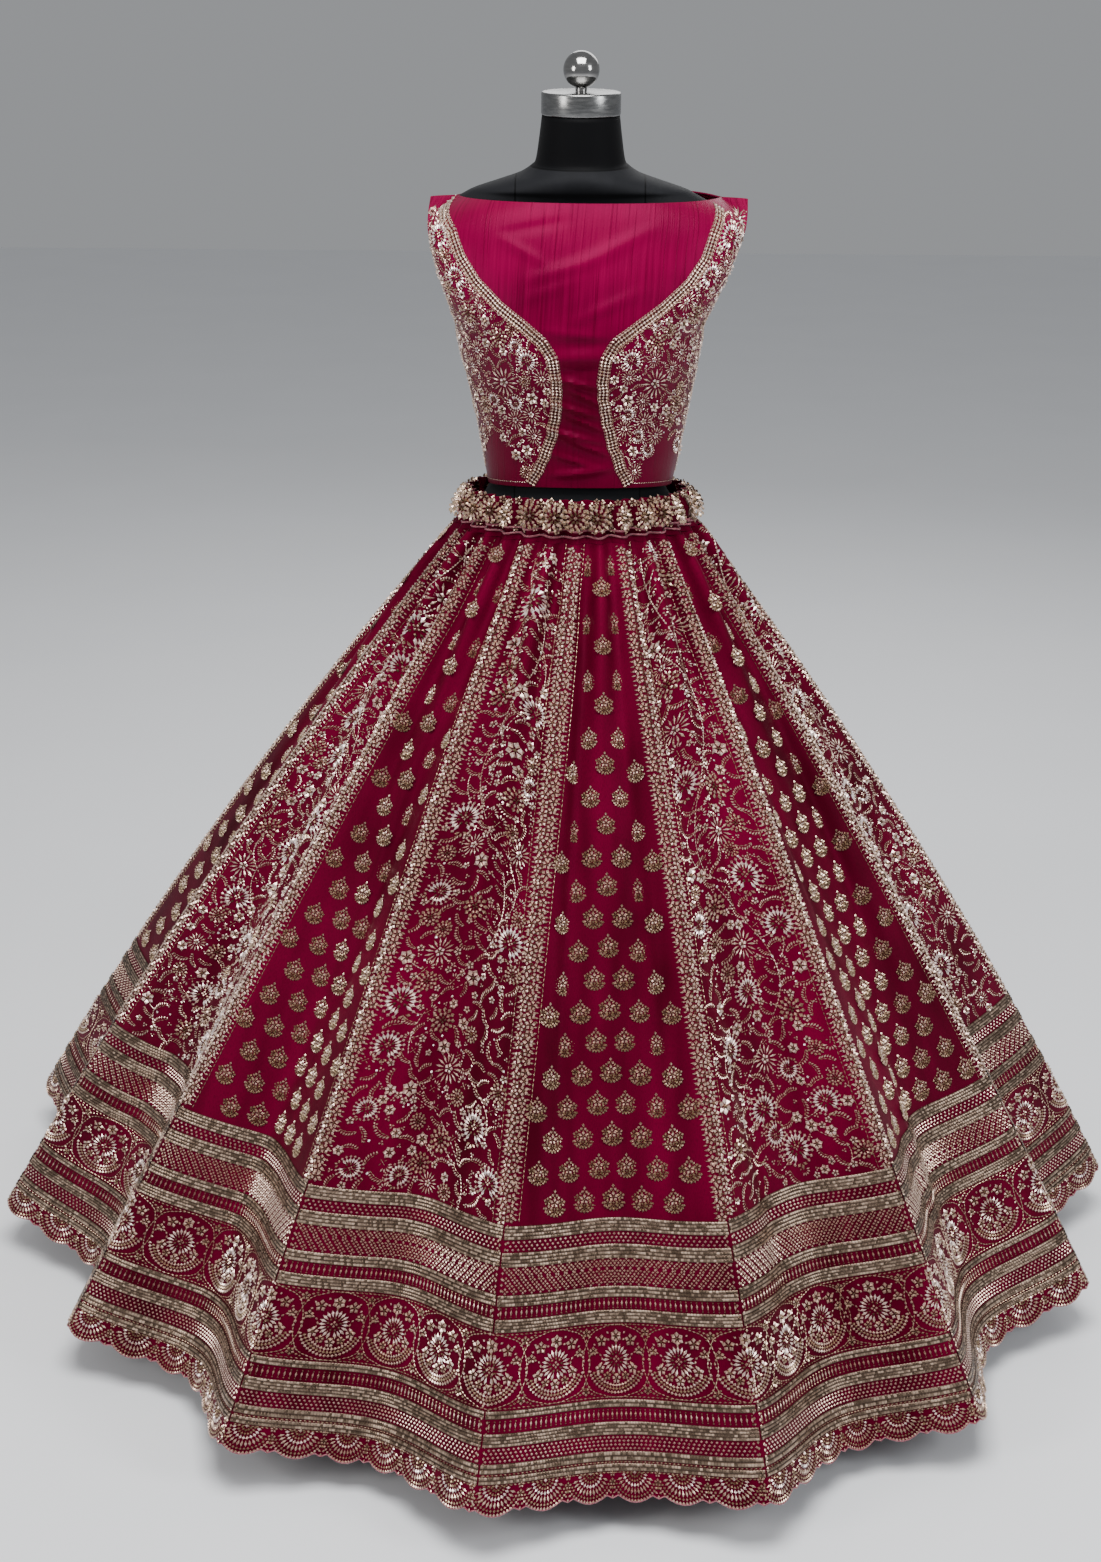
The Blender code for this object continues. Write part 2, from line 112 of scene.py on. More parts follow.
# The form's sections: height, half width, depth in front and behind
FORM = np.array((
    (0.800, 0.120, 0.080, 0.090),
    (0.806, 0.142, 0.098, 0.108),
    (0.830, 0.156, 0.108, 0.120),
    (0.880, 0.165, 0.113, 0.128),
    (0.940, 0.160, 0.110, 0.120),
    (0.985, 0.150, 0.105, 0.108),
    (1.020, 0.136, 0.098, 0.097),
    (1.062, 0.109, 0.087, 0.083),
    (1.095, 0.103, 0.085, 0.079),
    (1.125, 0.108, 0.089, 0.081),
    (1.170, 0.119, 0.097, 0.086),
    (1.220, 0.130, 0.110, 0.092),
    (1.268, 0.137, 0.116, 0.096),
    (1.310, 0.143, 0.111, 0.098),
    (1.350, 0.152, 0.099, 0.094),
    (1.382, 0.163, 0.082, 0.082),
    (1.398, 0.166, 0.074, 0.074),
    (1.407, 0.162, 0.054, 0.054),
    (1.419, 0.1415, 0.055, 0.051),
    (1.426, 0.127, 0.062, 0.057),
    (1.436, 0.096, 0.065, 0.060),
    (1.444, 0.073, 0.063, 0.058),
    (1.453, 0.059, 0.056, 0.054),
    (1.460, 0.054, 0.053, 0.052),
    (1.486, 0.050, 0.050, 0.050),
    (1.511, 0.047, 0.047, 0.047),
))
BUST_SPREAD, BUST_Z, BUST_RISE, BUST_RADIUS = 0.070, 1.268, 0.012, 0.052

# The choli's rows: side height, centre height, reach left and right, depth in front and behind,
# armhole cut, share of the row's end on the side line, squareness
BODICE = np.array((
    (1.062, 1.076, 0.113, 0.120, 0.094, 0.089, 0.000, 0.00, 0.85),
    (1.082, 1.093, 0.116, 0.124, 0.095, 0.090, 0.000, 0.00, 0.85),
    (1.103, 1.111, 0.119, 0.128, 0.098, 0.091, 0.000, 0.00, 0.85),
    (1.125, 1.131, 0.123, 0.132, 0.101, 0.092, 0.000, 0.00, 0.85),
    (1.148, 1.152, 0.127, 0.136, 0.106, 0.094, 0.000, 0.00, 0.85),
    (1.170, 1.173, 0.132, 0.140, 0.112, 0.097, 0.000, 0.00, 0.85),
    (1.193, 1.195, 0.137, 0.144, 0.118, 0.100, 0.000, 0.00, 0.85),
    (1.216, 1.218, 0.143, 0.148, 0.125, 0.102, 0.000, 0.00, 0.85),
    (1.240, 1.242, 0.149, 0.152, 0.130, 0.104, 0.000, 0.00, 0.85),
    (1.262, 1.264, 0.152, 0.154, 0.132, 0.106, 0.002, 0.00, 0.85),
    (1.284, 1.287, 0.157, 0.161, 0.131, 0.107, 0.026, 0.00, 0.85),
    (1.308, 1.311, 0.164, 0.171, 0.127, 0.107, 0.038, 0.00, 0.84),
    (1.334, 1.337, 0.173, 0.182, 0.120, 0.105, 0.041, 0.02, 0.82),
    (1.358, 1.362, 0.180, 0.192, 0.111, 0.101, 0.038, 0.06, 0.80),
    (1.380, 1.384, 0.184, 0.200, 0.102, 0.096, 0.031, 0.15, 0.76),
    (1.397, 1.402, 0.184, 0.203, 0.094, 0.090, 0.018, 0.34, 0.70),
    (1.4138, 1.4180, 0.182, 0.204, 0.086, 0.083, 0.000, 0.57, 0.66),
))
BODICE_BUST_SHARE = 0.7

# Folds pulled across the choli's front and back: height, middle, half length, depth, slope, width
FRONT_FOLDS = (
    (1.096, 0.004, 0.050, 0.0068, 0.12, 0.0056),
    (1.112, -0.006, 0.040, 0.0044, -0.30, 0.0042),
    (1.130, 0.010, 0.040, 0.0056, -0.40, 0.0042),
    (1.144, -0.008, 0.050, 0.0072, -0.25, 0.0048),
    (1.162, 0.006, 0.040, 0.0052, -0.45, 0.0042),
    (1.178, -0.006, 0.044, 0.0068, -0.30, 0.0048),
    (1.194, 0.008, 0.036, 0.0052, -0.50, 0.0042),
    (1.212, -0.002, 0.040, 0.0068, -0.20, 0.0048),
    (1.228, 0.004, 0.036, -0.0044, 0.06, 0.0042),
    (1.243, 0.000, 0.070, 0.0046, 0.04, 0.0070),
    (1.260, 0.004, 0.062, -0.0030, 0.04, 0.0060),
    (1.272, -0.010, 0.060, 0.0022, -0.10, 0.0050),
    (1.302, 0.030, 0.066, 0.0026, 0.42, 0.0070),
    (1.322, -0.036, 0.056, 0.0022, 0.34, 0.0070),
    (1.345, -0.020, 0.080, 0.0028, 0.30, 0.0080),
    (1.372, 0.046, 0.070, 0.0024, 0.45, 0.0080),
    (1.390, -0.060, 0.060, -0.0018, 0.20, 0.0060),
    (1.366, -0.070, 0.040, 0.0020, -0.50, 0.0060),
)
BACK_FOLDS = (
    (1.104, 0.030, 0.090, 0.0030, 0.10, 0.010),
    (1.132, -0.024, 0.080, 0.0034, -0.14, 0.011),
    (1.168, 0.010, 0.090, 0.0030, 0.08, 0.010),
    (1.206, -0.012, 0.070, 0.0026, -0.20, 0.011),
    (1.262, 0.046, 0.070, 0.0026, 0.30, 0.012),
    (1.296, -0.050, 0.070, 0.0028, -0.34, 0.012),
    (1.352, 0.060, 0.080, 0.0028, 0.40, 0.012),
    (1.366, -0.064, 0.080, 0.0026, -0.36, 0.011),
)

# The beaded border's middle line on each side of the choli's front, as z, left x and right x
BORDER = np.array((
    (1.0790, -0.0585, 0.0640),
    (1.1000, -0.0470, 0.0530),
    (1.1250, -0.0375, 0.0440),
    (1.1550, -0.0300, 0.0365),
    (1.1850, -0.0265, 0.0315),
    (1.2150, -0.0265, 0.0295),
    (1.2420, -0.0310, 0.0330),
    (1.2620, -0.0440, 0.0450),
    (1.2820, -0.0680, 0.0720),
    (1.3020, -0.0960, 0.1010),
    (1.3280, -0.1230, 0.1310),
    (1.3560, -0.1420, 0.1510),
    (1.3840, -0.1530, 0.1605),
    (1.4120, -0.1590, 0.1665),
))
BORDER_WIDTH = 0.013

# The choli's embroidered field: its low and high ends, and how far its middle rises at the hem
CHOLI_FOOT = 1.070
CHOLI_FIELD = (1.086, 1.406)
CHOLI_HOLLOW = 0.060

# Soft creases of the skirt: place round it in panels, low and high end above the hem, drift on
# the way up in metres, depth in metres (troughs are negative), half width
CREASES = (
    (0.30, 0.05, 0.70, 0.020, -0.0085, 0.020),
    (0.72, 0.30, 0.95, -0.012, 0.0068, 0.015),
    (1.42, 0.02, 0.55, 0.015, -0.0076, 0.022),
    (1.66, 0.40, 1.02, -0.010, -0.0068, 0.013),
    (2.28, 0.10, 0.80, 0.018, 0.0076, 0.020),
    (2.60, 0.45, 1.00, 0.006, -0.0068, 0.012),
    (3.22, 0.32, 1.02, 0.004, -0.0076, 0.012),
    (3.50, 0.02, 0.62, -0.004, 0.0085, 0.022),
    (3.76, 0.30, 0.98, -0.006, -0.0076, 0.013),
    (4.34, 0.08, 0.74, -0.014, -0.0085, 0.020),
    (4.68, 0.42, 1.02, 0.010, 0.0068, 0.013),
    (5.38, 0.05, 0.60, -0.012, 0.0085, 0.021),
    (5.70, 0.36, 0.97, 0.012, -0.0076, 0.014),
    (6.33, 0.12, 0.82, -0.016, -0.0085, 0.019),
    (6.74, 0.38, 1.00, 0.008, 0.0061, 0.013),
    (7.40, 0.06, 0.66, 0.010, -0.0093, 0.021),
    (7.72, 0.44, 1.01, -0.008, -0.0068, 0.013),
    (8.36, 0.10, 0.76, -0.014, 0.0085, 0.020),
    (8.66, 0.34, 0.94, 0.012, -0.0071, 0.014),
    (9.44, 0.04, 0.58, 0.014, -0.0088, 0.022),
    (9.70, 0.40, 1.02, -0.006, 0.0065, 0.012),
    (10.30, 0.12, 0.84, -0.012, -0.0082, 0.019),
    (10.64, 0.36, 0.98, 0.010, -0.0068, 0.013),
    (11.46, 0.05, 0.64, 0.008, 0.0088, 0.022),
    (11.74, 0.42, 1.00, -0.010, -0.0071, 0.013),
    (12.32, 0.09, 0.78, 0.014, -0.0085, 0.020),
    (12.68, 0.36, 0.96, -0.012, 0.0068, 0.014),
    (13.44, 0.06, 0.62, -0.010, -0.0085, 0.021),
    (13.72, 0.40, 1.01, 0.008, -0.0068, 0.013),
)

# Small folds that run down from the casing in every kali, by their share across it
UPPER_CREASES = (0.26, 0.50, 0.74)
UPPER_CREASE_TOP = 1.125
UPPER_CREASE_DEPTH = 0.0140
UPPER_CREASE_REACH = 0.0110
UPPER_CREASE_FOOT = 0.56
UPPER_CREASE_FOOT_VARIES = 0.06
UPPER_CREASE_DRIFT = 0.010
CREASE_FADE = 0.010  # every crease has ended this far from a seam

# The gold bands of the skirt's border: low and high edge above the hem, rows of beads
GOLD_BANDS = (
    (0.297, 0.313, 4),
    (0.266, 0.283, 4),
    (0.222, 0.235, 3),
    (0.193, 0.208, 4),
    (0.098, 0.107, 2),
    (0.067, 0.082, 4),
    (0.038, 0.049, 2),
    (0.0265, 0.0355, 2),
)
BORDER_TOP = 0.313
TRIM_REACH = 0.0175  # half width of the beaded trim over a seam
TRIM_FULL_WIDTH = 0.085  # a narrower kali has a narrower trim
TRIM_LEAST = 0.62
TRIM_OVERLAP = 0.002
TRIM_START = 0.004  # above the border
BESIDE_SEAM = 0.002  # as a share of a kali
MEDALLION_UP = 0.150
BUTTI_PITCH = 0.0370
BUTTI_RISE = 0.0375
POSY_AWAY = 0.0330  # from the middle height of the medallions
KALI_TALLEST = 1.16
SATIN_CORD_RADIUS = 0.0013
HEM_PIPING_RADIUS = 0.0009
CORD_WAVE = 0.0007

# How far beads sit off the cloth, and where their directions are read
SEAT_LIFT = 0.0003
MOTIF_LIFT = 0.0004
HEADER_LIFT = 0.0008
SEAT_MARGIN = 0.003
SEAT_STEP = 0.004

# The vines: where a stem starts and ends inside its field, and its steps
VINE_START = 0.004
VINE_END = 0.006
VINE_STEP = 0.0040

# The form: points round it, its rings, and its seams from the middle and up
FORM_SIDES = 96
FORM_RINGS = 120
SHOULDER_SEAM = 0.078
COLLAR_SEAM = 1.452


# Finishes
class Paint:
    """A socket in a finish's tree. Sums on it add Math nodes."""

    def __init__(self, tree, socket):
        self.tree = tree
        self.socket = socket

    def node(self, kind, settings=None, inputs=None, output=0):
        """Any node, with its settings first and then the values or links of its sockets."""
        made = self.tree.nodes.new(kind)
        for name, value in (settings or {}).items():
            if name == "stops":
                ramp = made.color_ramp.elements
                while len(ramp) < len(value):
                    ramp.new(0.5)
                for stop, (place, colour) in zip(ramp, value):
                    stop.position = place
                    stop.color = (*colour, 1.0)
            else:
                setattr(made, name, value)
        for name, value in (inputs or {}).items():
            if isinstance(value, Paint):
                self.tree.links.new(value.socket, made.inputs[name])
            else:
                made.inputs[name].default_value = value
        return Paint(self.tree, made.outputs[output])

    def maths(self, operation, first, second):
        return self.node("ShaderNodeMath", {"operation": operation}, {0: first, 1: second})

    def __add__(self, other):
        return self.maths("ADD", self, other)

    def __sub__(self, other):
        return self.maths("SUBTRACT", self, other)

    def __rsub__(self, other):
        return self.maths("SUBTRACT", other, self)

    def __mul__(self, other):
        return self.maths("MULTIPLY", self, other)

    def __pow__(self, other):
        return self.maths("POWER", self, other)

    __radd__ = __add__
    __rmul__ = __mul__

    def clipped(self, low, high):
        """The share of the way from low to high, kept from 0 to 1."""
        ends = {"Value": self, "From Min": low, "From Max": high}
        return self.node("ShaderNodeMapRange", {"clamp": True}, ends)

    def noise(self, scale, stretch=(1, 1, 1), detail=2.0):
        """Soft noise from this place, finer along an axis with a larger stretch."""
        placed = self.node("ShaderNodeMapping", None, {"Vector": self, "Scale": stretch})
        return self.node("ShaderNodeTexNoise", None, {"Vector": placed, "Scale": scale, "Detail": detail})

    def between(self, low, high):
        """A colour between two colours, by this share."""
        return self.node("ShaderNodeMix", {"data_type": "RGBA"}, {0: self, 6: (*low, 1), 7: (*high, 1)}, 2)

    def tinted(self, colour, share):
        """This colour blended towards another colour or paint."""
        other = colour if isinstance(colour, Paint) else (*colour, 1)
        return self.node("ShaderNodeMix", {"data_type": "RGBA"}, {0: share, 6: self, 7: other}, 2)

    def axis(self, name):
        """One of a place's three values."""
        split = self.node("ShaderNodeSeparateXYZ", None, {"Vector": self})
        return Paint(self.tree, split.socket.node.outputs[name])

    def bump(self, strength, distance):
        values = {"Height": self, "Strength": strength, "Distance": distance}
        return self.node("ShaderNodeBump", None, values)


def new_finish(name, constants):
    """A material, its shader with constants by socket, and the object's place in its tree."""
    made = bpy.data.materials.new(name)
    made.use_nodes = True
    tree = made.node_tree
    shader = tree.nodes["Principled BSDF"]
    for socket, value in constants.items():
        shader.inputs[socket].default_value = value
    place = tree.nodes.new("ShaderNodeTexCoord")
    return made, shader, Paint(tree, place.outputs["Object"]), Paint(tree, place.outputs["UV"])


def feed(shader, **paints):
    """Links paints to the shader's sockets, named with _ for a space."""
    for name, paint in paints.items():
        paint.tree.links.new(paint.socket, shader.inputs[name.replace("_", " ")])


def shot_silk_finish():
    """Crimson silk shot with magenta, with upright streaks of painted light and shade from small folds, on a
    map of metres across and up a kali.
    """
    made, shader, place, cloth = new_finish("shot_silk", {
        "Sheen Weight": 0.05, "Sheen Roughness": 0.3,
        "Sheen Tint": (0.9, 0.05, 0.25, 1),
        "Specular IOR Level": 0.20, "Specular Tint": (1.0, 0.05, 0.25, 1),
    })
    broad = place.noise(5.0, detail=3.0).clipped(0.35, 0.68)
    # Upright streaks that stand for small folds: painted light and shade, magenta where lit and deep crimson
    # where shaded
    painted_fold_streaks = cloth.noise(26.0, (1.0, 0.12, 1.0), 2.0).clipped(0.32, 0.70)
    weave = cloth.noise(900.0, (1.0, 0.25, 1.0), 1.0)
    cross = cloth.noise(900.0, (0.25, 1.0, 1.0), 1.0)
    colour = (broad * 0.45 + painted_fold_streaks * 0.55).between((0.026, 0.0, 0.002), (0.112, 0.0, 0.016))
    colour = colour.tinted((0.02, 0.0, 0.003), weave.clipped(0.45, 0.75) * 0.35)
    feed(shader, Base_Color=colour, Roughness=0.42 + weave * 0.22,
         Normal=(weave + cross).bump(0.30, 0.0004))
    return made


def raw_silk_finish():
    """Plain raw silk with fine upright slubs, painted darker below the bust as painted shade."""
    made, shader, place, cloth = new_finish("raw_silk", {
        "Specular IOR Level": 0.18, "Specular Tint": (1.0, 0.08, 0.35, 1),
    })
    slubs = cloth.noise(60.0, (5.0, 0.12, 1.0), 3.0)
    marks = cloth.noise(46.0, (9.0, 0.16, 1.0), 1.0).clipped(0.56, 0.68)
    threads = cloth.noise(260.0, (6.0, 1.0, 1.0), 1.0)
    broad = place.noise(7.0, (1.0, 1.0, 1.6), 2.0).clipped(0.3, 0.7)
    # Painted shade: the cloth below the bust, which faces down away from the ceiling light, is painted
    # darker
    lower = 1.0 - place.axis("Z").clipped(1.19, 1.31)
    colour = (broad * 0.35 + slubs * 0.65).between((0.040, 0.0, 0.006), (0.205, 0.0, 0.038))
    colour = colour.tinted((0.060, 0.0, 0.005), lower * 0.6)
    colour = colour.tinted((0.050, 0.0, 0.006), marks * 0.45)
    feed(shader, Base_Color=colour, Roughness=0.28 + slubs * 0.20,
         Normal=(slubs * 0.6 + threads * 0.4 + marks * 0.4).bump(0.45, 0.0007))
    return made


def bead_finish():
    """Small beads and sequins, by the tint that each motif carries: 0 dark gold, 1 pearly."""
    made, shader, place, _ = new_finish("gold_beads", {"Metallic": 0.8, "Specular IOR Level": 0.6})
    tint = place.node("ShaderNodeAttribute", {"attribute_name": "tint"}, None, 2)
    grains = place.noise(430.0, detail=1.0)
    shade = tint + grains * 0.6 - 0.30
    colour = shade.node("ShaderNodeValToRGB", {"stops": (
        (0.00, (0.045, 0.024, 0.016)),
        (0.28, (0.16, 0.105, 0.060)),
        (0.50, (0.34, 0.245, 0.155)),
        (0.75, (0.60, 0.43, 0.35)),
        (0.86, (0.76, 0.59, 0.50)),
        (1.00, (0.92, 0.82, 0.82)),
    )}, {"Fac": shade})
    feed(shader, Base_Color=colour, Roughness=0.16 + grains * 0.30)
    return made


def band_finish():
    """Close lines of short gold bugle beads, on a map of metres along and lines across, with painted shade
    in the gaps between beads and at the foot of each line.
    """
    made, shader, _, cloth = new_finish("gold_bugle_lines", {"Metallic": 0.75, "Specular IOR Level": 0.6})
    along, lines = cloth.axis("X"), cloth.axis("Y")
    line = lines.maths("FLOOR", lines, 0.0)
    bead = along * 280.0 + line * 0.37
    each = bead.node("ShaderNodeCombineXYZ", None, {"X": bead.maths("FLOOR", bead, 0.0), "Y": line})
    shade = each.node("ShaderNodeTexWhiteNoise", {"noise_dimensions": "2D"}, {"Vector": each})
    part = bead.maths("FRACT", bead, 0.0) - 0.5
    gap_bump_and_painted_shade = part.maths("ABSOLUTE", part, 0.0).clipped(0.34, 0.48)
    side = lines - line - 0.5
    foot = side.maths("ABSOLUTE", side, 0.0).clipped(0.14, 0.40)
    colour = (shade ** 1.6).between((0.13, 0.085, 0.055), (0.60, 0.44, 0.33))
    # Painted shade: darker in the gaps between beads and down each line's foot, lighter along its ridge
    colour = colour.tinted((0.055, 0.034, 0.022), gap_bump_and_painted_shade * 0.7).tinted((0.050, 0.028, 0.018), foot)
    feed(shader, Base_Color=colour, Roughness=0.20 + shade * 0.25, Normal=(1.0 - gap_bump_and_painted_shade).bump(0.5, 0.0008))
    return made


def satin_finish():
    made, shader, place, _ = new_finish("satin_cord", {"Sheen Weight": 0.3, "Specular IOR Level": 0.6})
    twist = place.noise(240.0, (1, 1, 2.5), 2.0)
    colour = twist.clipped(0.35, 0.7).between((0.16, 0.012, 0.035), (0.36, 0.10, 0.12))
    feed(shader, Base_Color=colour, Roughness=0.28 + twist * 0.2, Normal=twist.bump(0.4, 0.0006))
    return made


def jersey_finish():
    """Black jersey with a seam round the neck's foot and one down from each shoulder, the neck painted
    darker than the shoulders as painted shade.
    """
    made, shader, place, _ = new_finish("black_jersey", {"Specular IOR Level": 0.07, "Sheen Weight": 0.02})
    knit = place.noise(900.0, (1, 1, 0.5), 1.0)
    dust = place.noise(30.0, detail=4.0).clipped(0.5, 0.8)
    across = place.axis("X")
    side = across.maths("ABSOLUTE", across, 0.0) - SHOULDER_SEAM
    collar = place.axis("Z") - COLLAR_SEAM
    seam = 1.0 - side.maths("ABSOLUTE", side, 0.0).clipped(0.0004, 0.0013)
    ring = 1.0 - collar.maths("ABSOLUTE", collar, 0.0).clipped(0.0005, 0.0015)
    seams = seam.maths("MAXIMUM", seam, ring)
    colour = dust.between((0.0085, 0.0088, 0.0102), (0.0120, 0.0124, 0.0142))
    # Painted shade: the upright neck above the collar seam is painted darker than the shoulders, which face
    # the ceiling light
    colour = colour.tinted((0.0006, 0.0006, 0.0010), collar.clipped(0.0, 0.002))
    colour = colour.tinted((0.0002, 0.0002, 0.0003), seams * 0.9)
    feed(shader, Base_Color=colour, Roughness=0.55 + knit * 0.2,
         Normal=(knit * 0.5 - seams).bump(0.3, 0.0006))
    return made


def steel_finish(name, dark, bright, roughness):
    """Polished or brushed steel with a soft haze."""
    made, shader, place, _ = new_finish(name, {"Metallic": 1.0})
    haze = place.noise(60.0, (1, 1, 6.0), 3.0)
    colour = haze.between(dark, bright)
    feed(shader, Base_Color=colour, Roughness=roughness + haze.clipped(0.40, 0.8) * 0.14)
    return made


def base_finish():
    made, shader, place, _ = new_finish("black_base", {"Specular IOR Level": 0.5})
    specks = place.noise(500.0, detail=2.0)
    colour = specks.between((0.012, 0.012, 0.014), (0.03, 0.03, 0.033))
    feed(shader, Base_Color=colour, Roughness=0.35 + specks * 0.25, Normal=specks.bump(0.2, 0.0003))
    return made


shot_silk = shot_silk_finish()
raw_silk = raw_silk_finish()
gold_beads = bead_finish()
gold_rows = band_finish()
satin = satin_finish()
jersey = jersey_finish()
chrome = steel_finish("polished_steel", (0.22, 0.215, 0.21), (0.42, 0.41, 0.40), 0.10)
brushed = steel_finish("brushed_steel", (0.16, 0.16, 0.16), (0.30, 0.30, 0.295), 0.24)
black_base = base_finish()


# Forms worked out from the sizes
def around(q, name):
    """A seam column's value at q, where whole numbers are seams and angles keep rising."""
    values = SEAMS[:, SEAM_COLUMNS.index(name)]
    turn = 360.0 if name.endswith("_deg") else 0.0
    whole = np.floor(q).astype(int)
    here = values[whole % PANELS] + turn * (whole // PANELS)
    after = values[(whole + 1) % PANELS] + turn * ((whole + 1) // PANELS)
    return here + (after - here) * (q - whole)


def gather(q):
    return 0.5 - 0.5 * np.cos(2 * math.pi * GATHERS_PER_PANEL * q)


def bust(x, z):
    across = (np.abs(x) - BUST_SPREAD) / BUST_RADIUS
    up = (z - BUST_Z) / BUST_RADIUS
    return BUST_RISE * np.exp(-across * across - up * up)


def form_points(angle, z, clearance=0.0):
    """Points on the form's sections, at an angle from the front towards +X."""
    half, front, back = (np.interp(z, FORM[:, 0], FORM[:, i]) for i in (1, 2, 3))
    x = (half + clearance) * np.sin(angle)
    facing = np.cos(angle)
    depth = np.where(facing > 0, front + bust(x, z) * facing, back)
    return np.stack(np.broadcast_arrays(x, -(depth + clearance) * facing, z), -1)


def casing_points(q, share):
    """Points on the outside of the gathered casing, at a share of the way up to the rim."""
    shares = [row[0] for row in CASING][::-1]
    clearance = np.interp(share, shares, [row[1] for row in CASING][::-1])
    depth = np.interp(share, shares, [row[2] for row in CASING][::-1])
    angle = np.radians(around(q, "waist_deg"))
    rim = RIM_Z + RIM_LIFT * np.maximum(0.0, np.cos(angle))
    z = np.where(share > 0, CORD_Z + share * (rim - CORD_Z), CORD_Z + share * (RIM_Z - CORD_Z))
    return form_points(angle, z, clearance + SOLID_WALL + depth * (1 - gather(q)))


def skirt_points(q, t):
    """Points on the outside of the skirt: q counts seams, t runs from waist to hem."""
    waist = np.radians(around(q, "waist_deg"))
    top = casing_points(q, np.full_like(q, CASING[-1][0]))
    top[..., 2] -= SEAM_GAP
    smooth = form_points(waist, top[..., 2], CASING[-1][1] + SOLID_WALL + CASING[-1][2])
    fade = np.maximum(0.0, 1.0 - t / GATHER_FADE)[..., None] ** 2
    start = smooth + (top - smooth) * fade
    start[..., 2] = top[..., 2]
    hem = np.radians(around(q, "hem_deg"))
    whole = np.floor(q).astype(int)
    flute = SEAMS[whole % PANELS, SEAM_COLUMNS.index("flute")]
    recess = flute * np.abs(np.sin(math.pi * (q - whole))) ** FLUTE_SHARPNESS
    radius = around(q, "hem_radius") - recess
    end = np.stack((radius * np.sin(hem), -radius * np.cos(hem), HEM_Z - FLUTE_SAG * recess), -1)
    outward = np.stack((np.sin(hem), -np.cos(hem), np.zeros_like(hem)), -1)
    bow = around(q, "bow") * 4 * t * (1 - t)
    push = recess * t - recess * t ** FLUTE_GROWTH + bow
    return start + (end - start) * t[..., None] + outward * push[..., None]


def grid_normals(points):
    """Outward normals of a grid whose rows run down and whose columns run to the right."""
    across = np.gradient(points, axis=1)
    down = np.gradient(points, axis=0)
    normal = np.cross(down, across)
    return normal / np.linalg.norm(normal, axis=-1, keepdims=True)


